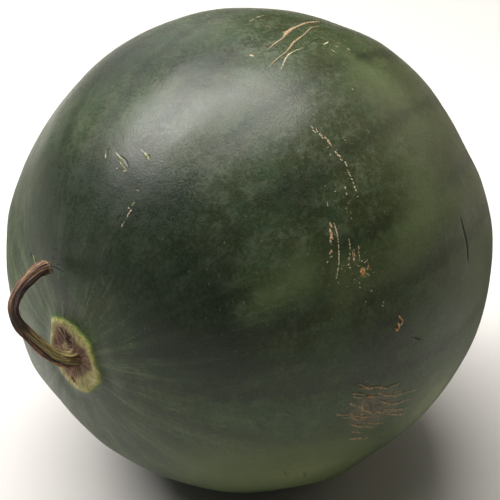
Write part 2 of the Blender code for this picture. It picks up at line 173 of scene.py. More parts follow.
# Marks on the rind: kind, half the width, height (+) or depth (-), both in mm, and the course
# in pixels of the photograph
Mark = namedtuple("Mark", "kind half_width height pixels")
MARKS = (
    # Faint dark strokes at the lower middle
    ("faint", 0.34, -0.06, (249, 415), (251.6, 418.6), (253.8, 421.3)),
    ("faint", 0.70, -0.06, (254.6, 419.7), (258.2, 423.4), (262.4, 426.8), (265.8, 429.3)),
    ("faint", 0.40, -0.06, (256.6, 424.6), (259.2, 428), (262.6, 432.4)),
    ("faint", 0.36, -0.06, (262.6, 413.4), (266.2, 417), (268.6, 419.4)),
    ("faint", 0.50, -0.06, (269.8, 407), (272.2, 409.8), (275.4, 411.8)),
    ("faint", 0.60, -0.06, (284.1, 408.6), (287.6, 411.8), (292.1, 414.2)),
    ("faint", 0.36, -0.06, (280.2, 399), (283.3, 403.8)),
    ("faint", 0.50, -0.06, (289.4, 374), (290.4, 375)),
    ("faint", 0.36, -0.06, (284.1, 470.8), (285.9, 474.6), (287.3, 477.2)),
    ("faint", 0.50, -0.06, (304.2, 473.2), (305.2, 476.4)),
    # Corky scars near the top
    ("scar", 0.50, 0.30, (267.9, 49.6), (277, 42.4), (282, 39), (286, 34.7)),
    ("scar", 1.25, 0.45, (284, 37), (287.5, 32.6), (291.7, 29.2), (296, 27.2)),
    ("scar", 0.55, 0.20, (282.3, 32.7), (287.1, 31.5), (291, 29.5)),
    ("scar", 0.76, 0.35, (291.7, 28.9), (297.5, 26.6), (304.9, 23.8), (311.3, 22.5), (319.9, 22.1)),
    ("scar", 0.40, 0.30, (269.4, 66.5), (279.1, 57.1), (284.9, 53.1), (289.4, 48.2)),
    ("scar", 0.58, 0.35, (284.9, 53.1), (289.4, 48.2), (293.5, 42.7), (299.8, 38.1), (304.9, 33.8)),
    ("scar", 0.38, 0.25, (303, 35.4), (309, 29.8), (312.4, 27.5), (319.3, 26.5)),
    ("thin", 0.32, 0.12, (280.8, 70), (283.1, 64.5), (285.4, 58.8), (288.9, 54.2), (294, 51),
     (303.5, 47.6)),
    ("dark", 0.32, -0.20, (303.5, 47.6), (306.7, 45.6), (312.4, 41.6), (317, 39.6), (321, 38.1)),
    ("thin", 0.40, 0.10, (324.2, 44.4), (327.9, 42.1)),
    ("thin", 0.25, 0.10, (332, 46.7), (336.5, 46.2), (341.7, 49)),
    ("thin", 0.25, 0.10, (331.5, 49.8), (335.4, 52.5)),
    ("thin", 0.28, 0.10, (346, 47.8), (350.5, 50.2)),
    ("thin", 0.30, 0.10, (256.7, 17.5), (263.6, 15.5)),
    ("thin", 0.24, 0.10, (250, 21), (253.2, 19.4)),
    ("dark", 0.26, -0.15, (269, 66.8), (265.5, 70), (263.4, 73)),
    # Small pale and orange spots near the top
    ("pale", 0.60, 0.20, (250.4, 55), (252.8, 55.4)),
    ("pale", 0.30, 0.10, (252.2, 36.2), (252.4, 36.6)),
    ("pale", 0.30, 0.10, (252.4, 39.2), (252.6, 39.5)),
    ("pale", 0.34, 0.10, (290.2, 89.4), (290.6, 90.2)),
    ("pale", 0.30, 0.10, (352.6, 89.4), (353.2, 89.2)),
    ("tan", 0.42, 0.15, (223.6, 76.2), (225, 76.8)),
    ("tan", 0.26, 0.10, (243.3, 85), (243.7, 85.2)),
    ("tan", 0.30, 0.10, (252.8, 86.8), (253.3, 87.4)),
    ("pale", 0.26, 0.10, (196, 86.2), (196.5, 86.4)),
    ("pale", 0.26, 0.10, (313.4, 114.4), (313.8, 115)),
    ("dark", 0.20, -0.08, (185, 146.2), (188, 144.4)),
    ("green", 0.34, 0.10, (330.4, 155), (330.8, 155.3)),
    ("orange", 0.30, 0.10, (345.2, 140.1), (345.5, 140.4)),
    ("orange", 0.26, 0.10, (285.6, 135.7), (285.9, 136)),
    # Broken row of pale dashes
    ("pale", 0.40, 0.20, (311.4, 126.7), (312.7, 128.3)),
    ("pale", 0.42, 0.20, (313.6, 130.7), (315.7, 132.9)),
    ("pale", 0.34, 0.20, (316.3, 129.1), (317.6, 131.8)),
    ("pale", 0.45, 0.20, (320.1, 134), (322.8, 138.6)),
    ("tan", 0.55, 0.30, (324.9, 137.2), (328.5, 141.6), (331.7, 146.5)),
    ("pale", 0.34, 0.20, (325.3, 137.6), (330, 144.4)),
    ("tan", 0.34, 0.20, (328.3, 147.3), (328.8, 147.9)),
    ("pale", 0.50, 0.25, (335.8, 152.1), (336.4, 152.8)),
    ("tan", 0.48, 0.25, (338, 155.1), (339.9, 157)),
    ("pale", 0.40, 0.20, (340.4, 159.5), (342.3, 160.6)),
    ("pale", 0.40, 0.20, (345.3, 162.2), (346.9, 166.2)),
    ("tan", 0.36, 0.20, (348, 170.6), (348.8, 172.6)),
    ("pale", 0.34, 0.20, (349.6, 174.7), (350.7, 176.8)),
    ("pale", 0.42, 0.20, (351.5, 178.9), (352.1, 179.7)),
    ("pale", 0.32, 0.15, (353.2, 182.4), (353.7, 184.4)),
    ("pale", 0.36, 0.20, (354.5, 187.1), (356.7, 192.3)),
    ("pale", 0.34, 0.15, (357.8, 196.8), (358.3, 197.6)),
    ("tan", 0.38, 0.20, (344.6, 186.7), (345.2, 188), (345.8, 189.6)),
    ("pale", 0.28, 0.10, (346.3, 193), (346.9, 194.9)),
    ("pale", 0.28, 0.10, (327.2, 202.3), (327.8, 206.3)),
    ("pale", 0.30, 0.10, (335.4, 191.5), (335.8, 191.6)),
    ("pale", 0.30, 0.10, (345.7, 208.2), (346, 208.8)),
    ("pale", 0.30, 0.10, (346.6, 212.2), (346.8, 212.7)),
    ("tan", 0.26, 0.10, (350.6, 212.6), (350.7, 213.8)),
    ("pale", 0.34, 0.10, (351.3, 218.2), (351.4, 219.1)),
    ("pale", 0.28, 0.10, (348.4, 203.4), (348.8, 203.6)),
    ("pale", 0.24, 0.10, (338.6, 220), (338.9, 220.3)),
    ("pale", 0.26, 0.10, (345.8, 222.4), (346.1, 222.6)),
    # Long scratches
    ("tan", 0.40, 0.25, (330.1, 223), (332.1, 227.6)),
    ("tan", 0.42, 0.30, (329.8, 228.1), (330.6, 234), (331.2, 239)),
    ("tan", 0.55, 0.30, (331, 232), (332.1, 238.8)),
    ("pale", 0.45, 0.20, (330.4, 237), (330.7, 242.5), (331.6, 244.6)),
    ("tan", 0.45, 0.20, (331.5, 250.5), (330.4, 253.7)),
    ("pale", 0.34, 0.15, (329.8, 257.6), (332.1, 256.4)),
    ("thin", 0.34, 0.15, (333.5, 222.4), (335.8, 228.7), (337.3, 235.6), (338.1, 242.5)),
    ("thin", 0.34, 0.15, (338, 241), (338.7, 251.7), (339, 260.3), (338.1, 268.9), (336.4, 279.2)),
    ("thin", 0.33, 0.15, (348.5, 238.2), (349.6, 244.8), (349.9, 249.9)),
    ("tan", 0.34, 0.15, (350.6, 249.8), (352.5, 251.7), (353, 257), (354.8, 263.7)),
    ("tan", 0.28, 0.10, (353.8, 249.5), (354.3, 256), (354.4, 261)),
    ("pale", 0.34, 0.15, (349.6, 252.4), (349.8, 254.4)),
    ("pale", 0.34, 0.15, (349.3, 258), (349, 261)),
    ("tan", 0.34, 0.15, (348.8, 263.5), (348.5, 265)),
    ("pale", 0.42, 0.20, (350, 267.9), (351, 268.9)),
    ("tan", 0.28, 0.15, (357.9, 243.9), (359, 251), (359.7, 260.8)),
    ("pale", 0.34, 0.15, (361.3, 261.8), (362.4, 260.4)),
    ("pale", 0.30, 0.15, (363.9, 262.7), (365.6, 262), (368, 259.4)),
    ("pale", 0.24, 0.10, (356.6, 264.3), (358.4, 266.5), (360.5, 266.2)),
    ("pale", 0.36, 0.15, (326.8, 262.8), (328, 261.9)),
    ("pale", 0.30, 0.15, (338.3, 282.2), (339.6, 284.6)),
    ("pale", 0.26, 0.10, (343.4, 258.6), (343.6, 259.2)),
    ("green", 0.30, 0.10, (341.4, 269.8), (342, 269)),
    ("pale", 0.26, 0.10, (354.6, 279.6), (355.2, 280)),
    ("pale", 0.26, 0.10, (359, 282.6), (360, 283.4)),
    ("green", 0.26, 0.10, (346.6, 286.6), (347.3, 286.9)),
    ("pale", 0.26, 0.10, (359.8, 287.4), (360.5, 287.6)),
    ("pale", 0.30, 0.10, (371.3, 291.4), (372, 290.5)),
    ("orange", 0.22, 0.10, (374.6, 285.7), (375, 285.8)),
    ("orange", 0.26, 0.10, (373.5, 272.6), (374, 272.8)),
    ("green", 0.26, 0.10, (370.1, 269.4), (370.5, 269.6)),
    ("orange", 0.34, 0.05, (367.6, 269.4), (368.6, 265.6)),
    ("pale", 0.24, 0.10, (382.6, 272.3), (383.2, 271.6)),
    ("pale", 0.32, 0.10, (341.2, 302.6), (341.6, 302.2)),
    ("pale", 0.30, 0.10, (365.4, 301.5), (365.7, 301.7)),
    ("tan", 0.24, 0.10, (383.5, 302.2), (383.7, 303)),
    ("tan", 0.22, 0.10, (386.2, 303.6), (386.5, 303.9)),
    ("tan", 0.20, 0.10, (381.6, 305.4), (384, 306)),
    # Round corky spot with its greener halo
    ("halo", 4.20, 0.00, (362.8, 275), (363.4, 276)),
    ("orange", 1.45, 0.45, (362.7, 271), (362.9, 272.6)),
    ("green", 0.45, 0.15, (361.3, 275.4), (362.1, 275.8)),
    ("green", 0.50, 0.15, (364.3, 277.4), (365.5, 275.9)),
    ("pale", 0.30, 0.15, (366.8, 273.8), (369, 275.4)),
    # Hooked corky mark at the right
    ("buff", 0.50, 0.35, (398.5, 315.2), (399.7, 317.6), (401.8, 319.3)),
    ("buff", 0.46, 0.35, (401.2, 318.6), (402.5, 320.9), (401.6, 323.6), (399.8, 325.1)),
    ("buff", 0.55, 0.35, (397.6, 323), (399, 325.4), (398.6, 328)),
    ("buff", 0.44, 0.30, (398.8, 327.4), (397.6, 329.8), (395.4, 330.8)),
    ("buff", 0.28, 0.20, (395.2, 328.4), (396.8, 329.6)),
    ("dark", 0.50, -0.30, (413.2, 336.9), (417, 338.2), (420.4, 339.2)),
    ("pale", 0.45, 0.10, (413.3, 339.2), (414, 339.6)),
    # Nicks at the upper left
    ("dark", 0.40, -0.25, (107.3, 149.4), (106.4, 152)),
    ("thin", 0.22, 0.10, (105.5, 154.6), (105.3, 158.4)),
    ("thin", 0.22, 0.10, (115.8, 152.7), (119.3, 156.9)),
    ("leaf", 0.85, 0.05, (121.3, 158.6), (124.2, 163.4), (126, 167)),
    ("dark", 0.38, -0.30, (120.5, 156.1), (124.6, 159.3), (126.6, 162.2), (127.9, 165.6)),
    ("pale", 0.22, 0.10, (119.6, 161), (122, 165.4), (124.9, 168.2)),
    ("green", 0.30, 0.10, (119.4, 157.2), (121, 158.8)),
    ("green", 0.34, 0.10, (125, 168.4), (125.9, 170)),
    ("pale", 0.30, 0.10, (123.6, 171.4), (126, 171)),
    ("thin", 0.20, 0.10, (141.2, 150), (145.9, 154.4)),
    ("green", 0.50, 0.10, (145.6, 154.2), (148.6, 157.4)),
    ("dark", 0.40, -0.25, (148.4, 155.8), (149.4, 158.2)),
    ("pale", 0.24, 0.10, (147, 158.6), (149, 160)),
    ("pale", 0.26, 0.10, (117, 168.2), (117.2, 169)),
    ("pale", 0.22, 0.10, (115.3, 186), (115.6, 186.5)),
    ("pale", 0.24, 0.10, (137.3, 190.6), (138, 190.8)),
    ("dark", 0.30, -0.15, (137.4, 189), (138.2, 189)),
    ("green", 0.26, 0.10, (133.5, 202.3), (131.8, 206.2)),
    ("pale", 0.32, 0.15, (128.4, 208), (128.6, 208.5)),
    ("pale", 0.40, 0.15, (130.6, 209.4), (131, 210)),
    ("pale", 0.26, 0.10, (130, 211.4), (127.5, 215.7), (126.4, 218.6)),
    ("pale", 0.28, 0.10, (124.6, 221), (122.5, 225.1), (121.4, 227.6)),
    # Nick and dark lines by the stem's end. The dark line and the smudge just under the cut end are
    # shallow creases darkened with painted shadow of the stem's end.
    ("green", 0.45, 0.05, (33.2, 255.4), (34.2, 259), (35.4, 264)),
    ("dark", 0.40, -0.25, (31, 253.6), (32.2, 257)),
    # Painted shadow of the stem's end, on shallow creases
    ("dark", 0.34, -0.20, (51, 266), (55, 266.8), (59.5, 268.8), (64.4, 271.8)),
    ("dark", 0.90, -0.15, (51.6, 268), (53, 271)),
    ("dark", 0.34, -0.15, (53, 248.2), (56, 248.8), (58.6, 248.2)),
    ("dark", 0.30, -0.15, (53.4, 258.6), (58.2, 258.4)),
    ("dark", 0.36, -0.15, (57, 264.8), (58.6, 263.8), (61, 264)),
    # Rind around and inside the corky scar of the stem
    ("green", 2.30, 0.90, (66.6, 347.4), (69.4, 350.4)),
    ("dark", 0.75, -0.35, (60.4, 327.6), (62.4, 332), (65, 337)),
    ("dark", 0.85, -0.35, (65, 331), (67.4, 335.4), (70.4, 338.6)),
    ("dark", 0.50, -0.30, (74.4, 351), (77.4, 356.4), (78.4, 362)),
    ("brown", 0.90, 0.20, (58.4, 336), (60.4, 343)),
    ("brown", 1.10, 0.30, (57.6, 349.4), (59.8, 350)),
    ("brown", 1.20, -0.30, (72.6, 378.4), (76, 383.4)),
    ("dark", 1.30, -0.60, (66.8, 339.6), (69.6, 342.4)),
    # Corky bits in the cracked patch
    ("orange", 0.80, 0.30, (368.1, 396), (368.5, 396.8)),
    ("tan", 0.36, 0.20, (364.6, 400), (362.6, 403), (361.6, 406), (363.4, 408.8)),
    ("tan", 0.26, 0.10, (361, 385.8), (366, 387.4), (372, 387.2)),
    ("tan", 0.26, 0.10, (352.5, 403.6), (357, 405.2), (361, 406.4)),
    ("tan", 0.30, 0.10, (371, 410.6), (378, 411.6), (388, 412), (400, 411.4)),
    ("tan", 0.26, 0.10, (381, 394.6), (390, 396.4), (397, 396.2)),
    ("green", 0.26, 0.10, (397, 395.6), (408, 393.2), (416, 390.8)),
    ("green", 0.30, 0.10, (377.5, 391.6), (383, 394), (387, 394.6)),
    ("pale", 0.26, 0.10, (343, 415.4), (351, 416.2), (358, 417.6)),
    ("pale", 0.24, 0.10, (349, 438), (360, 437.6), (368.6, 437.4)),
    ("tan", 0.26, 0.10, (368, 423.4), (377, 423), (383, 422)),
    ("tan", 0.24, 0.10, (354, 432.2), (362, 432.6)),
    ("tan", 0.26, 0.10, (346, 400), (348.4, 399), (351, 399.4)),
    ("dark", 0.30, -0.10, (355.2, 401.2), (357.6, 401.6)),
    ("pale", 0.30, 0.15, (362, 401.4), (364, 400.2)),
    ("tan", 0.34, 0.15, (360.6, 405.4), (362.4, 404), (363.8, 403.6)),
    ("tan", 0.30, 0.15, (359.4, 405.6), (361.4, 407.6), (363.6, 408.8)),
    ("tan", 0.30, 0.10, (394.4, 392.6), (397.6, 391.4), (400.8, 391)),
    ("tan", 0.30, 0.15, (349.4, 411.2), (351.2, 412.6), (353.4, 413.4)),
    ("tan", 0.34, 0.15, (360.4, 415.4), (362.6, 414.2), (365, 413.4)),
    ("tan", 0.24, 0.10, (359.2, 427.2), (362, 428.6)),
    ("orange", 0.26, 0.10, (352.2, 431.2), (353.4, 431.6)),
    ("pale", 0.24, 0.10, (350.4, 418.4), (351.2, 418.6)),
    ("tan", 0.24, 0.08, (365.8, 382.4), (367.6, 379.8), (369.4, 378.8)),
    ("faint", 0.40, -0.08, (379.6, 399.4), (384, 400.2), (388.8, 399.8)),
    ("faint", 0.36, -0.08, (391, 403.2), (395, 402.6), (399.4, 400.8)),
    ("faint", 0.90, -0.08, (369.4, 402.6), (370.8, 405.6), (371.2, 408.8)),
    ("faint", 0.90, -0.08, (374.4, 406.4), (378, 405), (381, 404.6)),
    ("faint", 0.40, -0.08, (365, 419.8), (368.4, 420.4), (372, 419)),
    ("faint", 0.40, -0.08, (350.2, 408.8), (352, 408.2), (354, 408.8)),
    # Crease at the right
    ("dark", 1.00, -0.25, (460.6, 217.4), (462.6, 225), (464.8, 234), (466.9, 244), (468, 261)),
)

MARK_KINDS = (
    "faint", "scar", "thin", "leaf", "tan", "pale", "orange", "buff", "brown", "green", "dark",
    "crack", "lip", "halo",
)
# Width of a long mark at its ends, as a share of its full width
MARK_END_SHARE = 0.35
# Grain of the marks' relief
MARK_GRAIN_LENGTH = 0.7 * MM
MARK_GRAIN_SHARE = 0.45
LEAST_MARK_RELIEF = 0.02 * MM

# Cracked, corky patch at the lower right: its centre in pixels, its reach, and its cracks with
# the pale lip below each
PATCH_CENTRE = (374, 409)
PATCH_REACH = 15.5 * MM
PATCH_CORE = 0.45
CRACK_HALF_WIDTH = 0.36 * MM
CRACK_DEPTH = 0.10 * MM
LIP_HALF_WIDTH = 0.52 * MM
LIP_HEIGHT = 0.22 * MM
LIP_OFFSET = 1.3
CRACKS = (
    ((358.5, 382.9), (364.9, 384.9), (370.6, 386.4), (377.5, 385.5), (386.7, 386.6), (392.4, 384.1),
     (398.1, 382.3)),
    ((359.1, 386.2), (365, 387.2), (371.7, 387.4)),
    ((377.5, 390.8), (380.9, 392.6), (386.7, 394), (392, 394.2), (398.1, 392.6), (406.8, 390.8),
     (416.5, 388)),
    ((352.2, 392.8), (359.1, 392.2), (364.5, 393.4)),
    ((353.9, 395.3), (360.8, 396.4)),
    ((366, 394.7), (372, 395.6), (377.5, 395.3)),
    ((379.8, 399.3), (385, 401), (391.3, 403.2), (397, 402.1), (403.9, 399.9), (411.9, 397.6)),
    ((349.4, 401.6), (353.9, 404.4), (359.7, 406.2), (362.6, 408.8), (367, 409.6), (372.3, 412),
     (377.5, 411), (386.7, 412.2)),
    ((384.4, 408.8), (389.5, 408.3), (398.1, 408.8), (406.8, 406.7)),
    ((386.7, 412.2), (392.4, 413.4), (398, 413.6), (403.9, 412.6)),
    ((336.7, 413.1), (342.5, 414.2), (349.4, 412.8), (352.2, 414.8), (358, 415.4), (364.9, 415.9),
     (371.7, 415.2)),
    ((343, 416.4), (351.1, 416.6), (358, 418.6), (364.3, 417.3)),
    ((349.4, 422.8), (358, 425), (363.7, 424.9), (371.7, 426.1)),
    ((369.4, 421.8), (377.5, 421.9), (382.6, 421)),
    ((352.2, 431.2), (356, 430.8), (361.4, 431.8)),
    ((348.2, 437.9), (355, 437.1), (362, 437.4), (368.9, 436.7)),
)

# Broad lighter (+) and darker (-) places of the rind: pixel, spread, amount. They are partly the rind's
# own colour and partly painted light and shade: the strongest lighter places, at the lower right and along
# the bottom, are painted light reflected from below, and the darker places round the highlight at the
# upper left are painted shade.
TINTS_AND_PAINTED_LIGHT = (
    (200, 330, 16, -0.62), (120, 235, 17, -0.45), (60, 215, 13, -0.75), (120, 60, 15, -0.50),
    (200, 60, 9, -0.35), (380, 345, 12, -0.35), (470, 320, 8, -0.10), (358, 53.5, 2.0, -0.18),
    (366, 57.5, 2.4, -0.20), (373, 61, 2.4, -0.20), (328, 310, 4, -0.15), (180, 215, 8, -0.25),
    (300, 200, 7, -0.35), (50, 150, 8, -0.25), (430, 400, 9, 1.60), (460, 200, 7, 0.25),
    (390, 90, 7, 0.25), (430, 215, 8, 0.35), (415, 235, 5, 0.25), (300, 275, 7, 0.55),
    (262, 300, 5, 0.40), (230, 250, 14, -0.14), (320, 468, 13, 1.05), (230, 478, 14, 0.80),
    (420, 180, 7, 0.35), (360, 62, 7, 0.30), (475, 300, 8, 0.35), (250, 300, 6, 0.25),
    (345, 280, 6, 0.28), (376, 285, 6, 0.28), (405, 262, 6, 0.34), (338, 314, 5, 0.30),
    (200, 240, 5, 0.25), (95, 300, 6, 0.12), (335, 318, 5, 0.15), (478, 262, 6, 0.25),
    (138, 206, 6, -0.40), (322, 176, 2.4, -0.15), (338, 165, 2.4, -0.18), (353, 153, 2.4, -0.18),
    (368, 141, 2.4, -0.28), (383, 129, 2.4, -0.30), (323, 272, 2.2, -0.20), (324, 288, 2.4, -0.12),
    (325, 303, 2.4, -0.10),
)
# Places where the rind is dusty and dull: pixel, spread, amount
DULL = (
    (490, 270, 20, 0.80), (440, 420, 18, 0.40), (280, 495, 24, 0.60), (90, 430, 18, 0.35),
    (10, 240, 16, 0.9), (470, 120, 14, 0.6),
)
# Places where pale specks crowd: pixel, spread, amount
SPECKLED = (
    (355, 275, 5, 0.9), (335, 160, 7, 0.5), (262, 50, 5, 0.6), (265, 290, 5, 0.4),
    (400, 300, 5, 0.3), (335, 48, 4, 0.5),
)

# Places of the waxy bloom, the olive side and the pale field spot: from_stem, around
BLOOM_PLACE = (25, -60)
BLOOM_SPREAD = 42
BLOOM_SHARE = 0.11
OLIVE_PLACE = (140, 70)
OLIVE_SPREAD = 45
FIELD_SPOT_PLACE = (98, -172)
# What the colour is multiplied by on the olive side and on the lower half
OLIVE_CAST = (1.06, 1.09, 0.74, 1.0)
UNDER_CAST = (0.90, 1.15, 0.80, 1.0)
# Full swing of the edges of the dark stripes, in mm
STRIPE_JAG = 16.0
# Layers of specks: how many cells to the metre, biggest size, how seldom, strength
SPECKS = ((150.0, 0.045, 0.35, 0.75), (300.0, 0.085, 0.40, 0.50), (520.0, 0.15, 0.45, 0.35))

RIND_GLOSS = 0.34
PLANT_IOR = 1.45

# Floor, a little under the fruit so that the two never coincide
STAGE_HALF_WIDTH = 4.0
FLOOR_GAP = 0.05 * MM
FLOOR_ROUGHNESS = 0.9

# Long ceiling light in two parts, a broad soft top light and weak light from the walls: name,
# place, width and depth, power, turn and colour
WHITE = (1.0, 1.0, 1.0)
CEILING_COLOUR = (1.0, 0.965, 0.985)
PANELS = (
    ("ceiling_panel", (-0.25, 0.66, 1.61), (2.17, 0.56), 63, 136, CEILING_COLOUR),
    ("ceiling_end", (-0.68, 1.04, 1.60), (1.15, 0.88), 18, 136, CEILING_COLOUR),
    ("soft_top", (0.0, 0.36, 1.90), (2.0, 2.0), 19, None, WHITE),
    ("back_wall", (0.81, 1.53, 0.92), (1.2, 1.2), 4, None, WHITE),
    ("right_wall", (1.53, -0.54, 0.92), (1.2, 1.2), 5, None, (1.0, 0.93, 0.72)),
    ("left_wall", (-1.53, 0.81, 0.92), (1.2, 1.2), 0.8, None, WHITE),
)
ROOM_COLOUR = (1.0, 1.0, 0.98, 1.0)
ROOM_STRENGTH = 0.05


def smooth_step(low, high, value):
    share = np.clip((value - low) / (high - low), 0, 1)
    return share * share * (3 - 2 * share)


def bell(offset, spread):
    return np.exp(-((offset / spread) ** 2))


def unit(vectors):
    return vectors / np.linalg.norm(vectors, axis=-1, keepdims=True)


def turn_offset(turn, middle):
    """Angle from a middle one to a turn, from -180 to 180."""
    return (turn - middle + 180) % 360 - 180


def direction(from_stem, around):
    """Unit vectors from the fruit's centre to places on the rind."""
    t, u = np.radians(from_stem), np.radians(around)
    return np.stack((-np.cos(t), -np.sin(t) * np.sin(u), np.sin(t) * np.cos(u)), axis=-1)


def place_angles(rays):
    """Angles from_stem and around of unit vectors."""
    from_stem = np.degrees(np.arccos(np.clip(-rays[..., 0], -1, 1)))
    around = np.degrees(np.arctan2(-rays[..., 1], rays[..., 2]))
    return from_stem, around


def soft_places(rays, places):
    """Sum of soft round places, each given by its pixel, spread and amount."""
    total = np.zeros(len(rays))
    for x, y, spread, amount in places:
        total += amount * bell(angle_between(rays, rind_at(x, y)), spread)
    return total


def angle_between(rays, place):
    return np.degrees(np.arccos(np.clip(rays @ place, -1, 1)))


def angle_from(rays, from_stem, around):
    """Angle between unit vectors and one place on the rind."""
    return angle_between(rays, direction(from_stem, around))


def valley_angles():
    """Where the valleys between the ribs lie around the axis, as in the solid."""
    draw = random.Random(11)
    angles = []
    for index in range(RIB_COUNT):
        even = FIRST_VALLEY + 360 * index / RIB_COUNT
        jitter = draw.uniform(-VALLEY_JITTER, VALLEY_JITTER) if index else 0
        angles.append(SEEN_VALLEYS.get(index, even + jitter))
    return angles + [FIRST_VALLEY + 360]


VALLEYS = np.array(valley_angles())


def rib_share(around):
    """How far across its rib an angle lies, from 0 to 1."""
    turn = FIRST_VALLEY + (around - FIRST_VALLEY) % 360
    return np.interp(turn, VALLEYS, np.arange(RIB_COUNT + 1)) % 1


def valley_distance(from_stem, around):
    """Distance along the rind to the nearest valley."""
    turn = FIRST_VALLEY + (around - FIRST_VALLEY) % 360
    gap = np.abs(turn[:, None] - VALLEYS[None, :]).min(axis=1)
    return np.radians(gap) * np.sin(np.radians(from_stem)) * EQUATOR_RADIUS


def eased_round(points, around):
    """Value at each angle around the axis, eased between the given (around, value) points."""
    angles, values = np.array(points + ((points[0][0] + 360, points[0][1]),)).T
    turn = angles[0] + (around - angles[0]) % 360
    index = np.clip(np.searchsorted(angles, turn, side="right") - 1, 0, len(angles) - 2)
    share = smooth_step(angles[index], angles[index + 1], turn)
    return values[index] + (values[index + 1] - values[index]) * share


def cork_share(from_stem, around):
    """Distance from the polar axis as a share of the scar's edge, and large past the equator."""
    share = EQUATOR_RADIUS * np.sin(np.radians(from_stem)) / eased_round(CORK_EDGE, around)
    return np.where(from_stem < 90, share, 9.0)


def rind_radius(rays):
    """Distance from the fruit's centre to the rind, as in the solid."""
    from_stem, around = place_angles(rays)
    across = np.hypot(rays[..., 1], rays[..., 2])
    radius = 1 / np.hypot(rays[..., 0] / POLAR_RADIUS, across / EQUATOR_RADIUS)
    for swell_from_stem, swell_around, spread, height in SWELLS:
        radius = radius + height * bell(angle_from(rays, swell_from_stem, swell_around), spread)
    radius = radius - 0.5 * RIB_HEIGHT * np.cos(2 * np.pi * rib_share(around)) * across**2
    share = cork_share(from_stem, around)
    radius = radius + CORK_HEIGHT * (1 - smooth_step(0.92, 1.06, share))
    radius = radius + CORK_RIM_HEIGHT * bell(share - 0.92, 0.12)
    radius = radius - CORK_MOAT_DEPTH * bell(share - 1.3, 0.25)
    radius = radius - CORK_HOLLOW_DEPTH * bell(share, 0.6)
    from_blossom = 180 - from_stem
    radius = radius - BLOSSOM_DIMPLE_DEPTH * bell(from_blossom, BLOSSOM_DIMPLE_SPREAD)
    return radius + BLOSSOM_BUTTON_HEIGHT * bell(from_blossom, BLOSSOM_BUTTON_SPREAD)


def camera_axes():
    """Unit vectors back towards the camera, to its right and up."""
    a, e = np.radians(CAMERA_AZIMUTH), np.radians(CAMERA_ELEVATION)
    back = np.array((np.sin(a) * np.cos(e), -np.cos(a) * np.cos(e), np.sin(e)))
    right = np.array((np.cos(a), np.sin(a), 0.0))
    return back, right, np.cross(back, right)


def rind_at(x, y):
    """Unit vector to the place on the rind that a pixel of the photograph shows."""
    back, right, up = camera_axes()
    pixel = CAMERA_SENSOR / CAMERA_LENS / PHOTO_SIZE
    offset_x = (x - FRUIT_CENTRE_PIXEL[0]) * pixel
    offset_y = (FRUIT_CENTRE_PIXEL[1] - y) * pixel
    ray = unit(offset_x * right + offset_y * up - back)
    start = back * CAMERA_DISTANCE
    towards = ray @ start
    radius = EQUATOR_RADIUS
    for _ in range(3):
        depth = max(towards**2 - start @ start + radius**2, 0.0)
        place = unit(start + ray * (-towards - np.sqrt(depth)))
        radius = rind_radius(place)
    return place


def smooth_course(points, steps=4):
    """Points along a smooth curve through the given ones."""
    points = np.asarray(points, dtype=float)
    if len(points) < 3:
        return points
    padded = np.vstack((2 * points[0] - points[1], points, 2 * points[-1] - points[-2]))
    course = []
    for p0, p1, p2, p3 in zip(padded, padded[1:], padded[2:], padded[3:]):
        for share in np.arange(steps) / steps:
            linear = (p2 - p0) * share
            square = (2 * p0 - 5 * p1 + 4 * p2 - p3) * share**2
            cube = (3 * p1 - p0 - 3 * p2 + p3) * share**3
            course.append(p1 + 0.5 * (linear + square + cube))
    course.append(points[-1])
    return np.array(course)


def all_marks():
    """Every mark with its course as unit vectors, the cracks of the patch among them."""
    marks = [Mark(kind, half * MM, height * MM, pixels) for kind, half, height, *pixels in MARKS]
    for crack in CRACKS:
        marks.append(Mark("crack", CRACK_HALF_WIDTH, -CRACK_DEPTH, crack))
        lip = tuple((x, y + LIP_OFFSET) for x, y in crack)
        marks.append(Mark("lip", LIP_HALF_WIDTH, LIP_HEIGHT, lip))
    placed = []
    for mark in marks:
        course = np.array([rind_at(x, y) for x, y in smooth_course(mark.pixels)])
        placed.append((mark, course))
    return placed


def distance_from_course(rays, course, reach):
    """Distances from a course on the rind, nearest shares along it, and which rays are in reach."""
    middle = unit(course.mean(axis=0))
    cap = np.arccos(np.clip(course @ middle, -1, 1)).max() + reach / EQUATOR_RADIUS
    near = np.flatnonzero(rays @ middle > np.cos(cap))
    steps = np.linalg.norm(np.diff(course, axis=0), axis=1)
    travelled = np.concatenate(([0], np.cumsum(steps)))
    distance = np.full(len(near), 1.0)
    along = np.zeros(len(near))
    for index, (start, end) in enumerate(zip(course, course[1:])):
        span = end - start
        share = np.clip((rays[near] - start) @ span / (span @ span), 0, 1)
        gap = np.linalg.norm(rays[near] - start - share[:, None] * span, axis=1)
        closer = gap * EQUATOR_RADIUS < distance
        distance[closer] = gap[closer] * EQUATOR_RADIUS
        along[closer] = (travelled[index] + share[closer] * steps[index]) / travelled[-1]
    return distance, along, near


def wanted_edge(rays, placed_marks):
    """Longest mesh edge that is wanted at each ray, fine near the marks and the scar."""
    edge = np.full(len(rays), BASE_EDGE)
    reach = (BASE_EDGE - FINE_EDGE) / FINE_EDGE_GROWTH + FINE_MARGIN
    for mark, course in placed_marks:
        if mark.kind == "halo":
            continue
        distance, _, near = distance_from_course(rays, course, reach)
        outside = np.maximum(distance - FINE_WIDTH_SHARE * mark.half_width, 0)
        edge[near] = np.minimum(edge[near], FINE_EDGE + FINE_EDGE_GROWTH * outside)
    from_stem, around = place_angles(rays)
    outside = np.maximum(cork_share(from_stem, around) - CORK_FINE_SHARE, 0) * CORK_MEAN_RADIUS
    edge = np.minimum(edge, CORK_EDGE_LENGTH + CORK_EDGE_GROWTH * outside)
    from_spot = np.abs(EQUATOR_RADIUS * np.hypot(rays[:, 0], rays[:, 1]) - REST_SPOT_RADIUS)
    from_spot = np.where(rays[:, 2] < 0, from_spot, 1.0)
    return np.minimum(edge, REST_SPOT_EDGE + REST_SPOT_EDGE_GROWTH * from_spot)


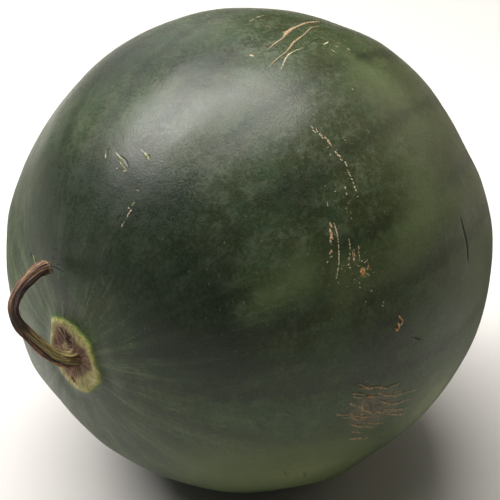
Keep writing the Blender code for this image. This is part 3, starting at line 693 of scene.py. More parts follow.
def split_edges(rays, triangles, longest):
    """Halves the edges that are longer than wanted, and splits the triangles to match."""
    sides = triangles[:, [[0, 1], [1, 2], [2, 0]]].reshape(-1, 2)
    edges, side_edge = np.unique(np.sort(sides, axis=1), axis=0, return_inverse=True)
    side_edge = side_edge.reshape(-1, 3)
    length = np.linalg.norm(rays[edges[:, 0]] - rays[edges[:, 1]], axis=1) * EQUATOR_RADIUS
    cut = length > EDGE_TOLERANCE * longest[edges].min(axis=1)
    while True:
        partly = cut[side_edge].sum(axis=1) == 2
        if not partly.any():
            break
        cut[side_edge[partly]] = True
    middle = np.full(len(edges), -1)
    middle[cut] = len(rays) + np.arange(cut.sum())
    rays = np.vstack((rays, unit(rays[edges[cut]].sum(axis=1))))

    a, b, c = triangles.T
    ab, bc, ca = middle[side_edge].T
    cuts = cut[side_edge].sum(axis=1)
    pieces = [triangles[cuts == 0]]
    for corners in ((a, ab, ca), (ab, b, bc), (ca, bc, c), (ab, bc, ca)):
        pieces.append(np.stack(corners, axis=1)[cuts == 3])
    for start, end, tip, mid in ((a, b, c, ab), (b, c, a, bc), (c, a, b, ca)):
        single = (cuts == 1) & (mid >= 0)
        pieces.append(np.stack((start, mid, tip), axis=1)[single])
        pieces.append(np.stack((mid, end, tip), axis=1)[single])
    return rays, np.vstack(pieces)


def rind_mesh_rays(placed_marks):
    """Unit vectors and triangles of a closed mesh, refined where the rind has detail."""
    bm = bmesh.new()
    bmesh.ops.create_icosphere(bm, subdivisions=BASE_SUBDIVISIONS, radius=1.0)
    rays = unit(np.array([vert.co for vert in bm.verts]))
    triangles = np.array([[vert.index for vert in face.verts] for face in bm.faces])
    bm.free()
    for _ in range(REFINE_ROUNDS):
        rays, triangles = split_edges(rays, triangles, wanted_edge(rays, placed_marks))
    return rays, triangles


def noise_at(points, scale, seed=0):
    """Smooth noise from -1 to 1 at each point, for relief in the mesh."""
    shift = Vector((seed * 17.3, seed * 5.1, seed * 9.7))
    return np.array([noise.noise(Vector(point) * scale + shift) for point in points])


def mark_fields(rays, placed_marks):
    """How deep inside each kind of mark every ray lies, and the relief of all marks."""
    closeness = {kind: np.full(len(rays), -1.0) for kind in MARK_KINDS}
    relief = np.zeros(len(rays))
    for mark, course in placed_marks:
        distance, along, near = distance_from_course(rays, course, 3 * mark.half_width)
        taper = MARK_END_SHARE + (1 - MARK_END_SHARE) * np.sin(np.pi * np.clip(along, 0.02, 0.98)) ** 0.5
        if len(mark.pixels) == 2:
            taper = 1.0
        inside = np.clip(1 - distance / (mark.half_width * taper), -1, 1)
        closeness[mark.kind][near] = np.maximum(closeness[mark.kind][near], inside)
        rise = mark.height * smooth_step(-0.1, 0.7, inside)
        lower = relief[near]
        relief[near] = np.where(np.abs(rise) > np.abs(lower), rise, lower)
    return closeness, relief


def skin_relief(rays, marks_relief):
    """Low relief of the skin: marks, wrinkles round the stem and the corky scar's grain."""
    from_stem, around = place_angles(rays)
    relief = marks_relief.copy()
    marked = np.flatnonzero(np.abs(marks_relief) > LEAST_MARK_RELIEF)
    grain = noise_at(rays[marked], EQUATOR_RADIUS / MARK_GRAIN_LENGTH, seed=1)
    relief[marked] *= 1 + MARK_GRAIN_SHARE * grain
    relief += WAVE_HEIGHT * noise_at(rays, EQUATOR_RADIUS / WAVE_LENGTH, seed=20)
    relief += RIPPLE_HEIGHT * noise_at(rays, EQUATOR_RADIUS / RIPPLE_LENGTH, seed=21)

    share = cork_share(from_stem, around)
    cork = np.flatnonzero(share < WRINKLE_REACH)
    share, angle = share[cork], np.radians(around[cork])
    turn = np.stack((np.sin(angle), np.cos(angle)), axis=1)
    streaks = noise_at(np.column_stack((turn * 9, share * 1.2)), 1.0, seed=2)
    lumps = noise_at(rays[cork], EQUATOR_RADIUS / CORK_LUMP_LENGTH, seed=3)
    inside = 1 - smooth_step(0.9, 1.05, share)
    relief[cork] += inside * (CORK_STREAK_HEIGHT * streaks + CORK_LUMP_HEIGHT * lumps)
    wrinkles = noise_at(np.column_stack((turn * 6, share * 0.4)), 1.0, seed=4)
    outside = smooth_step(1.0, 1.25, share) * (1 - smooth_step(1.5, WRINKLE_REACH, share))
    relief[cork] += outside * WRINKLE_HEIGHT * wrinkles
    return relief


def patch_share(rays):
    """How far inside the cracked patch each ray lies, from 0 at its rim to 1."""
    centre = rind_at(*PATCH_CENTRE)
    distance = np.linalg.norm(rays - centre, axis=1) * EQUATOR_RADIUS
    return 1 - smooth_step(PATCH_CORE, 1.0, distance / PATCH_REACH)


def rest_radius(rays, radius):
    """Radius held back to the flat rest spot, with a soft edge."""
    down = np.maximum(-rays[:, 2], 1e-6)
    limit = CENTRE_HEIGHT / down
    gap = np.clip((limit - radius) / REST_SPOT_SOFTNESS, -60, 60)
    blended = radius - REST_SPOT_SOFTNESS * np.log1p(np.exp(-gap))
    return np.where(rays[:, 2] < -0.5, blended, radius)


def add_float(mesh, name, values):
    layer = mesh.attributes.new(name, "FLOAT", "POINT")
    layer.data.foreach_set("value", np.ascontiguousarray(values, dtype=np.float32))


def add_vector(mesh, name, values):
    layer = mesh.attributes.new(name, "FLOAT_VECTOR", "POINT")
    layer.data.foreach_set("vector", np.ascontiguousarray(values, dtype=np.float32).ravel())


def fruit_fields(rays, closeness):
    """Every attribute with one number that the rind's material reads."""
    from_stem, around = place_angles(rays)
    from_blossom = 180 - from_stem
    share = cork_share(from_stem, around)
    rim_strength = 0.45 + 0.55 * bell(turn_offset(around, CORK_RIM_TURN), CORK_RIM_SPREAD)
    brown_reach = eased_round(CORK_BROWN, around)
    return closeness | {
        "valley": valley_distance(from_stem, around) / MM,
        "cork": 1 - smooth_step(0.96, 1.04, share),
        "cork_rim": bell(share - 0.985, 0.06) * rim_strength,
        "cork_brown": 1 - smooth_step(brown_reach - 0.22, brown_reach + 0.18, share),
        "patch": patch_share(rays),
        # The tint is partly the rind's own colour and partly painted light and shade
        "tint": soft_places(rays, TINTS_AND_PAINTED_LIGHT),
        "speckled": soft_places(rays, SPECKLED),
        "dull": np.clip(soft_places(rays, DULL), 0, 1),
        "fan": (1 - smooth_step(18, 55, from_stem)) + (1 - smooth_step(10, 40, from_blossom)),
        "blossom": np.clip(1 - from_blossom / BLOSSOM_SCAR_REACH, -1, 1),
        "bloom": bell(angle_from(rays, *BLOOM_PLACE), BLOOM_SPREAD),
        "olive": bell(angle_from(rays, *OLIVE_PLACE), OLIVE_SPREAD),
        "under": 1 - smooth_step(0.05, 0.45, rays[:, 2]),
        "field_spot": 1 - smooth_step(15, 27, angle_from(rays, *FIELD_SPOT_PLACE)),
    }


def make_fruit(material):
    """The rind as one closed mesh, with the attributes that its material reads."""
    placed_marks = all_marks()
    rays, triangles = rind_mesh_rays(placed_marks)
    closeness, marks_relief = mark_fields(rays, placed_marks)
    radius = rest_radius(rays, rind_radius(rays) + skin_relief(rays, marks_relief))
    points = CENTRE + rays * radius[:, None]
    points[:, 2] = np.maximum(points[:, 2], 0)

    mesh = bpy.data.meshes.new("watermelon_rind")
    mesh.from_pydata(points.tolist(), [], triangles.tolist())
    mesh.validate()
    mesh.shade_smooth()
    mesh.materials.append(material)
    for name, values in fruit_fields(rays, closeness).items():
        add_float(mesh, name, values)
    tilt, turn = np.radians(place_angles(rays))
    add_vector(mesh, "polar", np.column_stack((np.sin(turn), np.cos(turn), tilt)))

    fruit = bpy.data.objects.new("watermelon_rind", mesh)
    bpy.context.scene.collection.objects.link(fruit)
    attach(fruit, "root")
    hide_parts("fruit")


def stem_sections():
    """Centres, radii, tangents, inward and sideways directions, and distances along the stem."""
    route = smooth_course(np.array(STEM_ROUTE) * MM, steps=STEM_STEPS)
    sideways = direction(90, STEM_LEAN)
    pole = CENTRE - np.array((POLAR_RADIUS, 0, 0))
    outward = np.array((-1.0, 0.0, 0.0))
    centres = pole + route[:, :1] * outward + route[:, 1:2] * sideways
    steps = np.linalg.norm(np.diff(centres, axis=0), axis=1)
    travelled = np.concatenate(([0], np.cumsum(steps)))
    tangents = unit(np.gradient(centres, axis=0))
    plane_normal = np.cross(-outward, sideways)
    inward = np.cross(tangents, plane_normal)
    return centres, route[:, 2], tangents, inward, plane_normal, travelled


def ridge_profile(turn):
    """Height of the lengthwise ridges round the stem, from 0 to 1."""
    profile = np.zeros_like(turn)
    for middle, width, height in STEM_RIDGES:
        profile = np.maximum(profile, height * bell(turn_offset(turn, middle), width))
    return profile


def fibre_noise(fibre, stretch, seed):
    """Noise on the stem, with how fine it is round the stem and along it."""
    points = (fibre * np.array(stretch)).reshape(-1, 3)
    return noise_at(points, 1.0, seed).reshape(fibre.shape[:-1])


def stem_faces(rows):
    """Faces of a tube of rows, closed by one fan at its cut end and one at its root."""
    faces = []
    for row in range(rows - 1):
        for column in range(STEM_SEGMENTS):
            after = (column + 1) % STEM_SEGMENTS
            a, b = row * STEM_SEGMENTS + column, row * STEM_SEGMENTS + after
            faces.append((a, b, b + STEM_SEGMENTS, a + STEM_SEGMENTS))
    last = (rows - 1) * STEM_SEGMENTS
    tip, root = rows * STEM_SEGMENTS, rows * STEM_SEGMENTS + 1
    for column in range(STEM_SEGMENTS):
        after = (column + 1) % STEM_SEGMENTS
        faces.append((last + column, last + after, tip))
        faces.append((after, column, root))
    return faces


def make_stem(material):
    """The dried stem with its ridges, bark, kinked elbow and ragged cut end."""
    centres, radii, tangents, inward, plane_normal, travelled = stem_sections()
    turn = np.arange(STEM_SEGMENTS) * 360 / STEM_SEGMENTS
    turns, shares = np.meshgrid(turn, travelled / travelled[-1])
    angle = np.radians(turns)
    fibre = np.stack((np.cos(angle), np.sin(angle), shares), axis=-1)
    fine = fibre_noise(fibre, (7, 7, 9), seed=5)
    coarse = fibre_noise(fibre, (1.6, 1.6, 11), seed=6)
    crumbs = fibre_noise(fibre, (9, 9, 60), seed=7)
    fade = np.clip(0.85 + 0.8 * fibre_noise(fibre, (1.2, 1.2, 7), seed=14), 0.25, 1.15)
    wander = 26 * coarse + 8 * np.sin(9 * shares)
    ridges = ridge_profile(turns + STEM_TWIST * shares + wander) * fade
    bark_turn = np.abs(turn_offset(turns, STEM_BARK_TURN))
    bark = (1 - smooth_step(20, 42, bark_turn)) * (1 - smooth_step(0.28, 0.42, shares))

    elbow = bell(shares - STEM_ELBOW, 0.09)
    radius = radii[:, None] * (1 - STEM_RIDGE_DEPTH * (1 - ridges)) * (1 + 0.05 * coarse)
    radius = radius + STEM_FIBRE_DEPTH * fine + bark * STEM_BARK_DEPTH * crumbs
    flatten = (1 + 0.22 * elbow)[..., None]
    offset = inward[:, None, :] * fibre[..., :1] + plane_normal * fibre[..., 1:2] * flatten
    points = centres[:, None, :] + offset * radius[..., None]

    ragged = fibre_noise(fibre[-1], (5, 5, 1), seed=8) + 0.7 * fibre_noise(fibre[-1], (13, 13, 1), seed=9)
    points[-1] += tangents[-1] * (ragged * CUT_RAGGEDNESS)[:, None]
    points[-2] += tangents[-1] * (ragged * CUT_RAGGEDNESS * 0.5)[:, None]
    rows = list(points)
    for level, (scale, recess) in enumerate(CUT_RINGS):
        pits = noise_at(fibre[-1] * 4 * scale, 1.0, seed=10 + level)
        ring = centres[-1] + (points[-1] - centres[-1]) * scale
        rows.append(ring - tangents[-1] * ((recess + 0.5 * pits) * MM)[:, None])
    vertices = np.vstack(rows + [centres[-1] - tangents[-1] * CUT_MIDDLE_DEPTH, centres[0]])

    mesh = bpy.data.meshes.new("watermelon_stem")
    mesh.from_pydata(vertices.tolist(), [], stem_faces(len(rows)))
    mesh.shade_smooth()
    mesh.materials.append(material)
    bm = bmesh.new()
    bm.from_mesh(mesh)
    bmesh.ops.recalc_face_normals(bm, faces=bm.faces)
    bm.to_mesh(mesh)
    bm.free()

    lower = 1 - smooth_step(0.34, 0.50, shares)
    # Painted shade along the stem's shaded side, fading near the cut end
    shade_reach = 122 - 42 * smooth_step(0.62, 0.95, shares) + 14 * coarse
    shade_turn = np.abs(turn_offset(turns, STEM_SHADE_TURN))
    painted_shade = 1 - smooth_step(shade_reach - 12, shade_reach + 8, shade_turn)
    painted_shade = smooth_step(0.40, 0.52, shares) * painted_shade * (1 - 0.7 * smooth_step(0.90, 0.97, shares))
    olive_turn = np.abs(turn_offset(turns, STEM_OLIVE_TURN))
    # Each attribute on the side of the stem, and its one value over both ends
    fields = {
        "ridge": (ridges, 0.3),
        "bark": (bark, 0.0),
        "olive": (lower * (1 - smooth_step(45, 62, olive_turn)), 0.0),
        "dark_line": (lower * bell(turn_offset(turns, STEM_DARK_TURN), 9), 0.0),
        # Painted shade, also all round the kinked elbow
        "painted_shade": (np.maximum(painted_shade, elbow * 0.75), 0.0),
        "root": (1 - smooth_step(0.02, 0.09, shares), 0.0),
        "cut": (smooth_step(0.975, 0.995, shares), 1.0),
    }
    end_points = len(vertices) - shares.size
    for name, (values, end_value) in fields.items():
        add_float(mesh, name, np.concatenate((values.ravel(), np.full(end_points, end_value))))
    end_fibre = np.tile(fibre[-1], (len(CUT_RINGS), 1))
    add_vector(mesh, "fibre", np.vstack((fibre.reshape(-1, 3), end_fibre, fibre[-1][:2])))

    stem = bpy.data.objects.new("watermelon_stem", mesh)
    bpy.context.scene.collection.objects.link(stem)
    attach(stem, "root")
    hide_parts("stem")


def linear(red, green, blue):
    """Scene-linear colour from 0-255 display values."""
    channels = np.array((red, green, blue)) / 255
    curve = np.where(channels <= 0.04045, channels / 12.92, ((channels + 0.055) / 1.055) ** 2.4)
    return (*curve.tolist(), 1.0)


class Nodes:
    """Short names for the shader nodes that the materials are made of."""

    def __init__(self, name):
        self.material = bpy.data.materials.new(name)
        self.material.use_nodes = True
        self.tree = self.material.node_tree
        self.shader = self.tree.nodes["Principled BSDF"]
        self.place = self.add("ShaderNodeTexCoord").outputs["Object"]

    def add(self, kind, inputs=None, **settings):
        node = self.tree.nodes.new(kind)
        for name, value in settings.items():
            setattr(node, name, value)
        for name, value in (inputs or {}).items():
            self.feed(node.inputs[name], value)
        return node

    def feed(self, socket, value):
        if isinstance(value, bpy.types.NodeSocket):
            self.tree.links.new(value, socket)
        else:
            socket.default_value = value

    def value(self, name):
        return self.add("ShaderNodeAttribute", attribute_name=name).outputs["Fac"]

    def stretch(self, vector, stretch):
        return self.add("ShaderNodeVectorMath", {0: vector, 1: stretch}, operation="MULTIPLY").outputs[0]

    def vector(self, name, stretch):
        source = self.add("ShaderNodeAttribute", attribute_name=name)
        return self.stretch(source.outputs["Vector"], stretch)

    def noise(self, scale, place=None, detail=2.0, roughness=0.5):
        inputs = {"Vector": place or self.place, "Scale": scale, "Detail": detail, "Roughness": roughness}
        return self.add("ShaderNodeTexNoise", inputs).outputs["Fac"]

    def math(self, operation, a, b):
        return self.add("ShaderNodeMath", {0: a, 1: b}, operation=operation).outputs[0]

    def plus(self, a, b):
        return self.math("ADD", a, b)

    def times(self, a, b):
        return self.math("MULTIPLY", a, b)

    def swing(self, noise_value, reach):
        """Noise that swings about zero."""
        return self.times(self.math("SUBTRACT", noise_value, 0.5), reach)

    def step(self, value, low, high, bottom=0.0, top=1.0):
        """Smooth step of a value, which may also fall, from bottom to top."""
        inputs = {"Value": value, "From Min": low, "From Max": high, "To Min": bottom, "To Max": top}
        return self.add("ShaderNodeMapRange", inputs, interpolation_type="SMOOTHSTEP").outputs["Result"]

    def mix(self, share, a, b, blend="MIX"):
        node = self.add("ShaderNodeMix", {0: share, 6: a, 7: b}, data_type="RGBA", blend_type=blend)
        return node.outputs[2]

    def between(self, share, low, high):
        """Colour between two that are given in display values."""
        return self.mix(share, linear(*low), linear(*high))

    def cover(self, share, colour, rgb):
        """Colour under a share of another one, which is given in display values."""
        return self.mix(share, colour, linear(*rgb))

    def layers(self, colour, rows, within=1.0):
        """Colour under layers: what drives each, where it starts and is full, share, colour."""
        for driver, start, full, share, rgb in rows:
            mask = self.times(self.step(driver, start, full, 0, share), within)
            colour = self.cover(mask, colour, rgb)
        return colour

    def rough_mask(self, name, grain, reach=0.9, threshold=0.15):
        """Mask from an attribute, whose edge is eaten into by grain."""
        depth = self.plus(self.value(name), self.swing(grain, reach))
        return self.step(depth, threshold - 0.15, threshold + 0.20)

    def blend(self, share, a, b):
        node = self.add("ShaderNodeMix", {0: share, 2: a, 3: b}, data_type="FLOAT")
        return node.outputs[0]

    def bump(self, height, distance, strength, normal=None):
        inputs = {"Height": height, "Distance": distance, "Strength": strength}
        if normal:
            inputs["Normal"] = normal
        return self.add("ShaderNodeBump", inputs).outputs["Normal"]

    def finish(self, colour, roughness, normal):
        for name, value in (("Base Color", colour), ("Roughness", roughness), ("Normal", normal)):
            self.feed(self.shader.inputs[name], value)
        self.shader.inputs["IOR"].default_value = PLANT_IOR
        return self.material


def rind_material():
    """Dark waxy rind: mottled greens, soft dark stripes, bloom, specks, marks and cork."""
    nodes = Nodes("rind")
    fan = nodes.noise(11.0, nodes.vector("polar", (1.0, 1.0, 0.12)), detail=3, roughness=0.55)
    streaks = nodes.noise(26.0, nodes.vector("polar", (1.0, 1.0, 0.25)), detail=4, roughness=0.6)
    patches = nodes.noise(32.0, detail=4, roughness=0.6)
    clouds = nodes.noise(140.0, detail=6, roughness=0.74)
    drifts = nodes.noise(85.0, detail=6, roughness=0.72)
    mottle = nodes.noise(560.0, detail=3, roughness=0.6)
    plates = nodes.noise(260.0, detail=4, roughness=0.7)
    grain = nodes.step(nodes.noise(1500.0, detail=2, roughness=0.6), 0.36, 0.64)
    crumbs = nodes.step(nodes.noise(900.0, detail=3, roughness=0.7), 0.36, 0.64)

    # Ground colour, with streaks that fan out from both ends
    colour = nodes.between(nodes.step(patches, 0.38, 0.62), (45, 52, 31), (52, 64, 41))
    ground = (
        (clouds, 0.46, 0.66, 0.75, (72, 80, 60)),
        (drifts, 0.53, 0.66, 0.50, (40, 62, 44)),
        (drifts, 0.46, 0.35, 0.30, (60, 58, 38)),
        (mottle, 0.52, 0.75, 0.45, (79, 89, 58)),
        (mottle, 0.46, 0.28, 0.25, (29, 34, 21)),
        (streaks, 0.52, 0.75, 0.30, (77, 86, 64)),
    )
    colour = nodes.layers(colour, ground)
    fanned = (
        (fan, 0.50, 0.70, 0.55, (92, 98, 78)),
        (fan, 0.47, 0.34, 0.60, (32, 42, 27)),
        (streaks, 0.53, 0.68, 0.40, (104, 108, 90)),
    )
    colour = nodes.layers(colour, fanned, nodes.value("fan"))
    olive = nodes.value("olive")
    colour = nodes.cover(nodes.times(olive, 0.80), colour, (70, 69, 38))
    colour = nodes.mix(olive, colour, OLIVE_CAST, "MULTIPLY")
    colour = nodes.mix(nodes.value("under"), colour, UNDER_CAST, "MULTIPLY")

    # Soft dark stripes along the valleys, with jagged edges
    wander = nodes.swing(nodes.noise(120.0, detail=4, roughness=0.7), STRIPE_JAG)
    stripe = nodes.step(nodes.plus(nodes.value("valley"), wander), 5.5, 0.5)
    stripe = nodes.times(stripe, nodes.step(patches, 0.30, 0.60, 0.15, 0.55))
    colour = nodes.cover(stripe, colour, (28, 34, 20))

    # Broad lighter and darker places, partly the rind's own colour and partly painted light and shade, and
    # the waxy bloom
    tint = nodes.value("tint")
    tint_and_painted_light_layers = (
        (tint, 0.0, 0.7, 0.85, (86, 97, 63)),
        # Tint above 0.7 is painted light reflected from below, at the lower right and along the bottom
        (tint, 0.7, 1.5, 0.80, (114, 124, 84)),
        (tint, 0.0, -0.6, 0.80, (17, 27, 17)),
    )
    colour = nodes.layers(colour, tint_and_painted_light_layers)
    bloom = nodes.times(nodes.value("bloom"), nodes.step(clouds, 0.35, 0.65, 0.55, 1.0))
    bloom = nodes.times(bloom, BLOOM_SHARE)
    colour = nodes.cover(bloom, colour, (80, 92, 70))

    # Fine pale, yellowish and dark specks
    crowd = nodes.plus(nodes.step(clouds, 0.38, 0.68, -0.2, 0.15), nodes.value("speckled"))
    for scale, biggest, seldom, strength in SPECKS:
        cells = nodes.add("ShaderNodeTexVoronoi", {"Vector": nodes.place, "Scale": scale})
        chance = nodes.add("ShaderNodeSeparateColor", {"Color": cells.outputs["Color"]})
        size = nodes.step(nodes.plus(chance.outputs[0], crowd), seldom, 1.2, 0.0, biggest)
        speck = nodes.math("LESS_THAN", cells.outputs["Distance"], size)
        speck_colour = nodes.between(chance.outputs[1], (176, 172, 150), (140, 124, 70))
        colour = nodes.mix(nodes.times(speck, strength), colour, speck_colour)
        pit_size = nodes.step(chance.outputs[2], 0.86, 1.0, 0.0, 0.09)
        pit = nodes.math("LESS_THAN", cells.outputs["Distance"], pit_size)
        colour = nodes.cover(nodes.times(pit, 0.30), colour, (18, 24, 14))

    # Cracked, greyish patch, with fine lines along the cracks
    level = {"Vector": nodes.place, "Rotation": (0, 0, np.radians(-CAMERA_AZIMUTH))}
    level = nodes.add("ShaderNodeMapping", level).outputs["Vector"]
    lines = nodes.noise(1100.0, nodes.stretch(level, (0.14, 1.0, 1.0)), detail=3, roughness=0.6)
    patch = nodes.times(nodes.value("patch"), nodes.step(plates, 0.35, 0.60, 0.45, 1.0))
    colour = nodes.cover(nodes.times(patch, 0.95), colour, (100, 94, 74))
    lined = (
        (lines, 0.45, 0.36, 0.7, (38, 34, 22)),
        (lines, 0.58, 0.68, 0.7, (128, 104, 70)),
    )
    colour = nodes.layers(colour, lined, patch)

    # Marks: kind, what eats into its edge, how far, threshold, strength and colour
    halo = nodes.times(nodes.step(nodes.value("halo"), 0.0, 0.8), 0.55)
    colour = nodes.cover(halo, colour, (79, 94, 54))
    bands = nodes.step(plates, 0.42, 0.58)
    crack_strength = nodes.step(plates, 0.38, 0.54, 0.30, 0.75)
    lip_colour = nodes.between(nodes.step(plates, 0.44, 0.56), (122, 110, 70), (156, 126, 88))
    scar_colour = nodes.between(nodes.step(nodes.value("scar"), 0.2, 0.9), (122, 102, 74), (158, 139, 106))
    scar_colour = nodes.cover(nodes.times(crumbs, 0.4), scar_colour, (132, 108, 80))
    marks = (
        ("faint", grain, 0.6, 0.1, 0.55, linear(26, 38, 24)),
        ("dark", grain, 0.5, 0.1, 0.85, linear(20, 22, 14)),
        ("crack", crumbs, 0.9, 0.35, crack_strength, linear(38, 35, 22)),
        ("lip", crumbs, 1.3, 0.25, 0.95, lip_colour),
        ("green", crumbs, 0.8, 0.15, 0.85, nodes.between(crumbs, (83, 94, 38), (135, 137, 68))),
        ("orange", crumbs, 0.5, 0.2, 1.0, nodes.between(bands, (138, 92, 54), (184, 136, 80))),
        ("buff", crumbs, 0.5, 0.2, 1.0, nodes.between(bands, (176, 124, 84), (212, 166, 122))),
        ("tan", crumbs, 0.9, 0.2, 1.0, nodes.between(crumbs, (124, 96, 66), (182, 154, 114))),
        ("scar", grain, 0.5, 0.2, 1.0, scar_colour),
        ("thin", grain, 0.5, 0.2, 0.95, linear(174, 164, 132)),
        ("leaf", grain, 0.6, 0.2, 0.8, linear(70, 80, 38)),
        ("pale", crumbs, 0.8, 0.25, 0.9, nodes.between(grain, (132, 118, 90), (186, 172, 140))),
    )
    masks = {}
    for kind, eater, reach, threshold, strength, mark_colour in marks:
        masks[kind] = nodes.rough_mask(kind, eater, reach, threshold)
        colour = nodes.mix(nodes.times(masks[kind], strength), colour, mark_colour)

    # Corky scar round the stem
    cork_streaks = nodes.noise(9.0, nodes.vector("polar", (1.0, 1.0, 2.6)), detail=5, roughness=0.75)
    cork_blots = nodes.noise(260.0, detail=4, roughness=0.65)
    ring_colour = nodes.between(nodes.step(cork_streaks, 0.35, 0.62), (134, 129, 84), (176, 168, 118))
    brown_colour = nodes.between(nodes.step(cork_streaks, 0.38, 0.60), (58, 42, 32), (132, 106, 84))
    brown_colour = nodes.cover(nodes.step(cork_blots, 0.52, 0.66, 0, 0.6), brown_colour, (131, 110, 77))
    brown = nodes.step(nodes.plus(nodes.value("cork_brown"), nodes.swing(cork_streaks, 2.4)), 0.30, 0.70)
    cork_colour = nodes.mix(brown, ring_colour, brown_colour)
    rim = nodes.value("cork_rim")
    rim_colour = nodes.between(nodes.step(cork_blots, 0.3, 0.7), (108, 120, 38), (150, 156, 66))
    cork_colour = nodes.mix(nodes.times(rim, 0.9), cork_colour, rim_colour)
    cork_colour = nodes.cover(nodes.times(masks["green"], 0.85), cork_colour, (136, 130, 88))
    brown_mark = nodes.times(nodes.rough_mask("brown", crumbs), 0.85)
    cork_colour = nodes.cover(brown_mark, cork_colour, (94, 52, 38))
    cork_colour = nodes.cover(nodes.times(masks["dark"], 0.8), cork_colour, (40, 29, 24))
    cork = nodes.value("cork")
    colour = nodes.mix(cork, colour, cork_colour)
    rim_glow = nodes.times(rim, nodes.math("SUBTRACT", 1.0, cork))
    colour = nodes.cover(nodes.times(rim_glow, 0.9), colour, (77, 97, 36))

    # Dry scar of the blossom, and the pale spot where the fruit lay in the field
    blossom = nodes.rough_mask("blossom", crumbs, 0.8, 0.3)
    colour = nodes.mix(blossom, colour, nodes.between(crumbs, (92, 72, 50), (150, 126, 92)))
    field = nodes.rough_mask("field_spot", nodes.noise(40.0, detail=4), 0.9, 0.5)
    colour = nodes.cover(nodes.times(field, 0.85), colour, (176, 158, 101))

    # Gloss, which is dull on cork, bloom, dust and the cracked patch
    corky = nodes.math("MAXIMUM", cork, blossom)
    for kind in ("scar", "tan", "pale", "orange", "buff"):
        corky = nodes.math("MAXIMUM", corky, masks[kind])
    roughness = nodes.step(mottle, 0.3, 0.7, 0.25, 0.35)
    roughness = nodes.plus(roughness, nodes.step(clouds, 0.35, 0.7, -0.03, 0.05))
    roughness = nodes.plus(roughness, nodes.step(grain, 0.0, 1.0, -0.06, 0.05))
    dulled = ((bloom, 0.52), (nodes.value("dull"), 0.90), (nodes.times(patch, 0.6), 0.65), (corky, 0.80))
    for mask, dull_roughness in dulled:
        roughness = nodes.blend(mask, roughness, dull_roughness)

    # Bumps too fine for the mesh: pores, ripples, low waves, grain of the cork and of the patch
    skin = nodes.bump(nodes.noise(1500.0, detail=3, roughness=0.7), 0.16 * MM, 0.85)
    skin = nodes.bump(nodes.noise(330.0, detail=3, roughness=0.6), 0.16 * MM, 0.34, skin)
    skin = nodes.bump(nodes.noise(95.0, detail=2), 0.30 * MM, 0.5, skin)
    skin = nodes.bump(nodes.times(crumbs, corky), 0.25 * MM, 0.8, skin)
    skin = nodes.bump(nodes.times(plates, nodes.value("patch")), 0.9 * MM, 0.8, skin)
    nodes.shader.inputs["Specular IOR Level"].default_value = RIND_GLOSS
    return nodes.finish(colour, roughness, skin)


def stem_material():
    """Dried stem: olive and reddish brown with pale ridges, crumbly bark, dark hollows, and painted shade
    on its shaded side and round its elbow.
    """
    nodes = Nodes("dry_stem")
    fibres = nodes.noise(9.0, nodes.vector("fibre", (1.0, 1.0, 1.1)), detail=5, roughness=0.7)
    strands = nodes.noise(17.0, nodes.vector("fibre", (1.0, 1.0, 0.4)), detail=3, roughness=0.6)
    blots = nodes.noise(420.0, detail=3, roughness=0.6)
    ridge = nodes.value("ridge")
    crest = nodes.step(nodes.plus(ridge, nodes.swing(fibres, 1.0)), 0.45, 1.0)

    colour = nodes.between(crest, (58, 34, 25), (112, 74, 50))
    tan = nodes.step(nodes.plus(fibres, nodes.times(ridge, 0.22)), 0.68, 0.86)
    colour = nodes.cover(nodes.times(tan, 0.70), colour, (156, 126, 80))
    olive_colour = nodes.between(nodes.step(fibres, 0.38, 0.56), (90, 70, 42), (150, 142, 86))
    colour = nodes.mix(nodes.value("olive"), colour, olive_colour)
    stranded = (
        (strands, 0.47, 0.42, 0.75, (50, 29, 20)),
        (strands, 0.54, 0.60, 0.70, (164, 134, 88)),
    )
    colour = nodes.layers(colour, stranded)
    places = (
        ("bark", 1.0, nodes.between(nodes.step(blots, 0.4, 0.62), (76, 45, 31), (135, 88, 56))),
        ("dark_line", 0.95, linear(23, 16, 14)),
        # Painted shade on the stem's shaded side and round its elbow
        ("painted_shade", 0.85, linear(38, 25, 20)),
        ("root", 0.75, linear(98, 72, 52)),
        ("cut", 0.8, nodes.between(nodes.step(fibres, 0.4, 0.6), (108, 77, 52), (176, 149, 110))),
    )
    for name, strength, place_colour in places:
        colour = nodes.mix(nodes.times(nodes.value(name), strength), colour, place_colour)

    bump = nodes.bump(fibres, 0.5 * MM, 0.7)
    bump = nodes.bump(nodes.noise(1500.0, detail=2), 0.12 * MM, 0.5, bump)
    return nodes.finish(colour, nodes.step(fibres, 0.3, 0.7, 0.85, 0.62), bump)


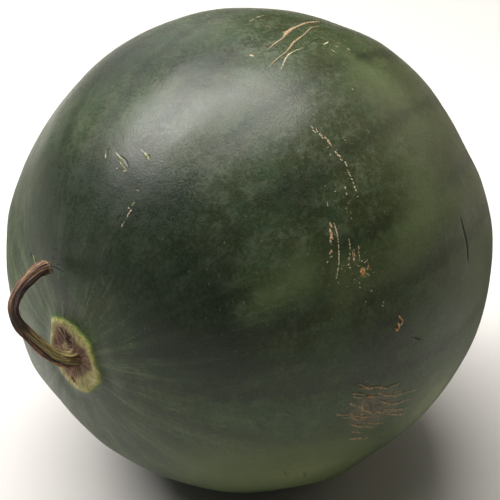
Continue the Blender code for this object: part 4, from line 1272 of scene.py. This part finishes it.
def make_floor():
    """Plain pale floor, wide enough to fill the view."""
    nodes = Nodes("floor")
    tint = nodes.between(nodes.noise(3.0), (186, 184, 178), (190, 188, 182))
    nodes.feed(nodes.shader.inputs["Base Color"], tint)
    nodes.shader.inputs["Roughness"].default_value = FLOOR_ROUGHNESS
    half = STAGE_HALF_WIDTH
    mesh = bpy.data.meshes.new("floor")
    corners = [(-half, -half, 0), (half, -half, 0), (half, half, 0), (-half, half, 0)]
    mesh.from_pydata(corners, [], [(0, 1, 2, 3)])
    mesh.materials.append(nodes.material)
    floor = bpy.data.objects.new("floor", mesh)
    floor.location.z = -FLOOR_GAP
    bpy.context.scene.collection.objects.link(floor)


def light_scene():
    """Area lights that hang level when they have a turn, or else face the fruit."""
    for name, place, size, power, turn, colour in PANELS:
        light = bpy.data.lights.new(name, "AREA")
        light.shape = "RECTANGLE"
        light.size, light.size_y = size
        light.energy = power
        light.color = colour
        lamp = bpy.data.objects.new(name, light)
        lamp.location = place
        if turn is None:
            lamp.rotation_euler = (lamp.location - Vector(CENTRE)).to_track_quat("Z", "Y").to_euler()
        else:
            lamp.rotation_euler.z = np.radians(turn)
        bpy.context.scene.collection.objects.link(lamp)
    world = bpy.data.worlds.new("room")
    world.use_nodes = True
    background = world.node_tree.nodes["Background"]
    background.inputs["Color"].default_value = ROOM_COLOUR
    background.inputs["Strength"].default_value = ROOM_STRENGTH
    bpy.context.scene.world = world


def place_camera():
    """Camera at the photograph's angle, with the small shift of its framing."""
    back, _, _ = camera_axes()
    data = bpy.data.cameras.new("photo_camera")
    data.lens = CAMERA_LENS
    data.sensor_width = CAMERA_SENSOR
    data.shift_x = (PHOTO_SIZE / 2 - FRUIT_CENTRE_PIXEL[0]) / PHOTO_SIZE
    data.shift_y = (FRUIT_CENTRE_PIXEL[1] - PHOTO_SIZE / 2) / PHOTO_SIZE
    camera = bpy.data.objects.new("photo_camera", data)
    camera.location = Vector(CENTRE + back * CAMERA_DISTANCE)
    camera.rotation_mode = "QUATERNION"
    camera.rotation_quaternion = Vector(-back).to_track_quat("-Z", "Y")
    bpy.context.scene.collection.objects.link(camera)
    bpy.context.scene.camera = camera


make_fruit(rind_material())
make_stem(stem_material())
make_floor()
light_scene()
place_camera()
bpy.context.scene.view_settings.view_transform = "Standard"
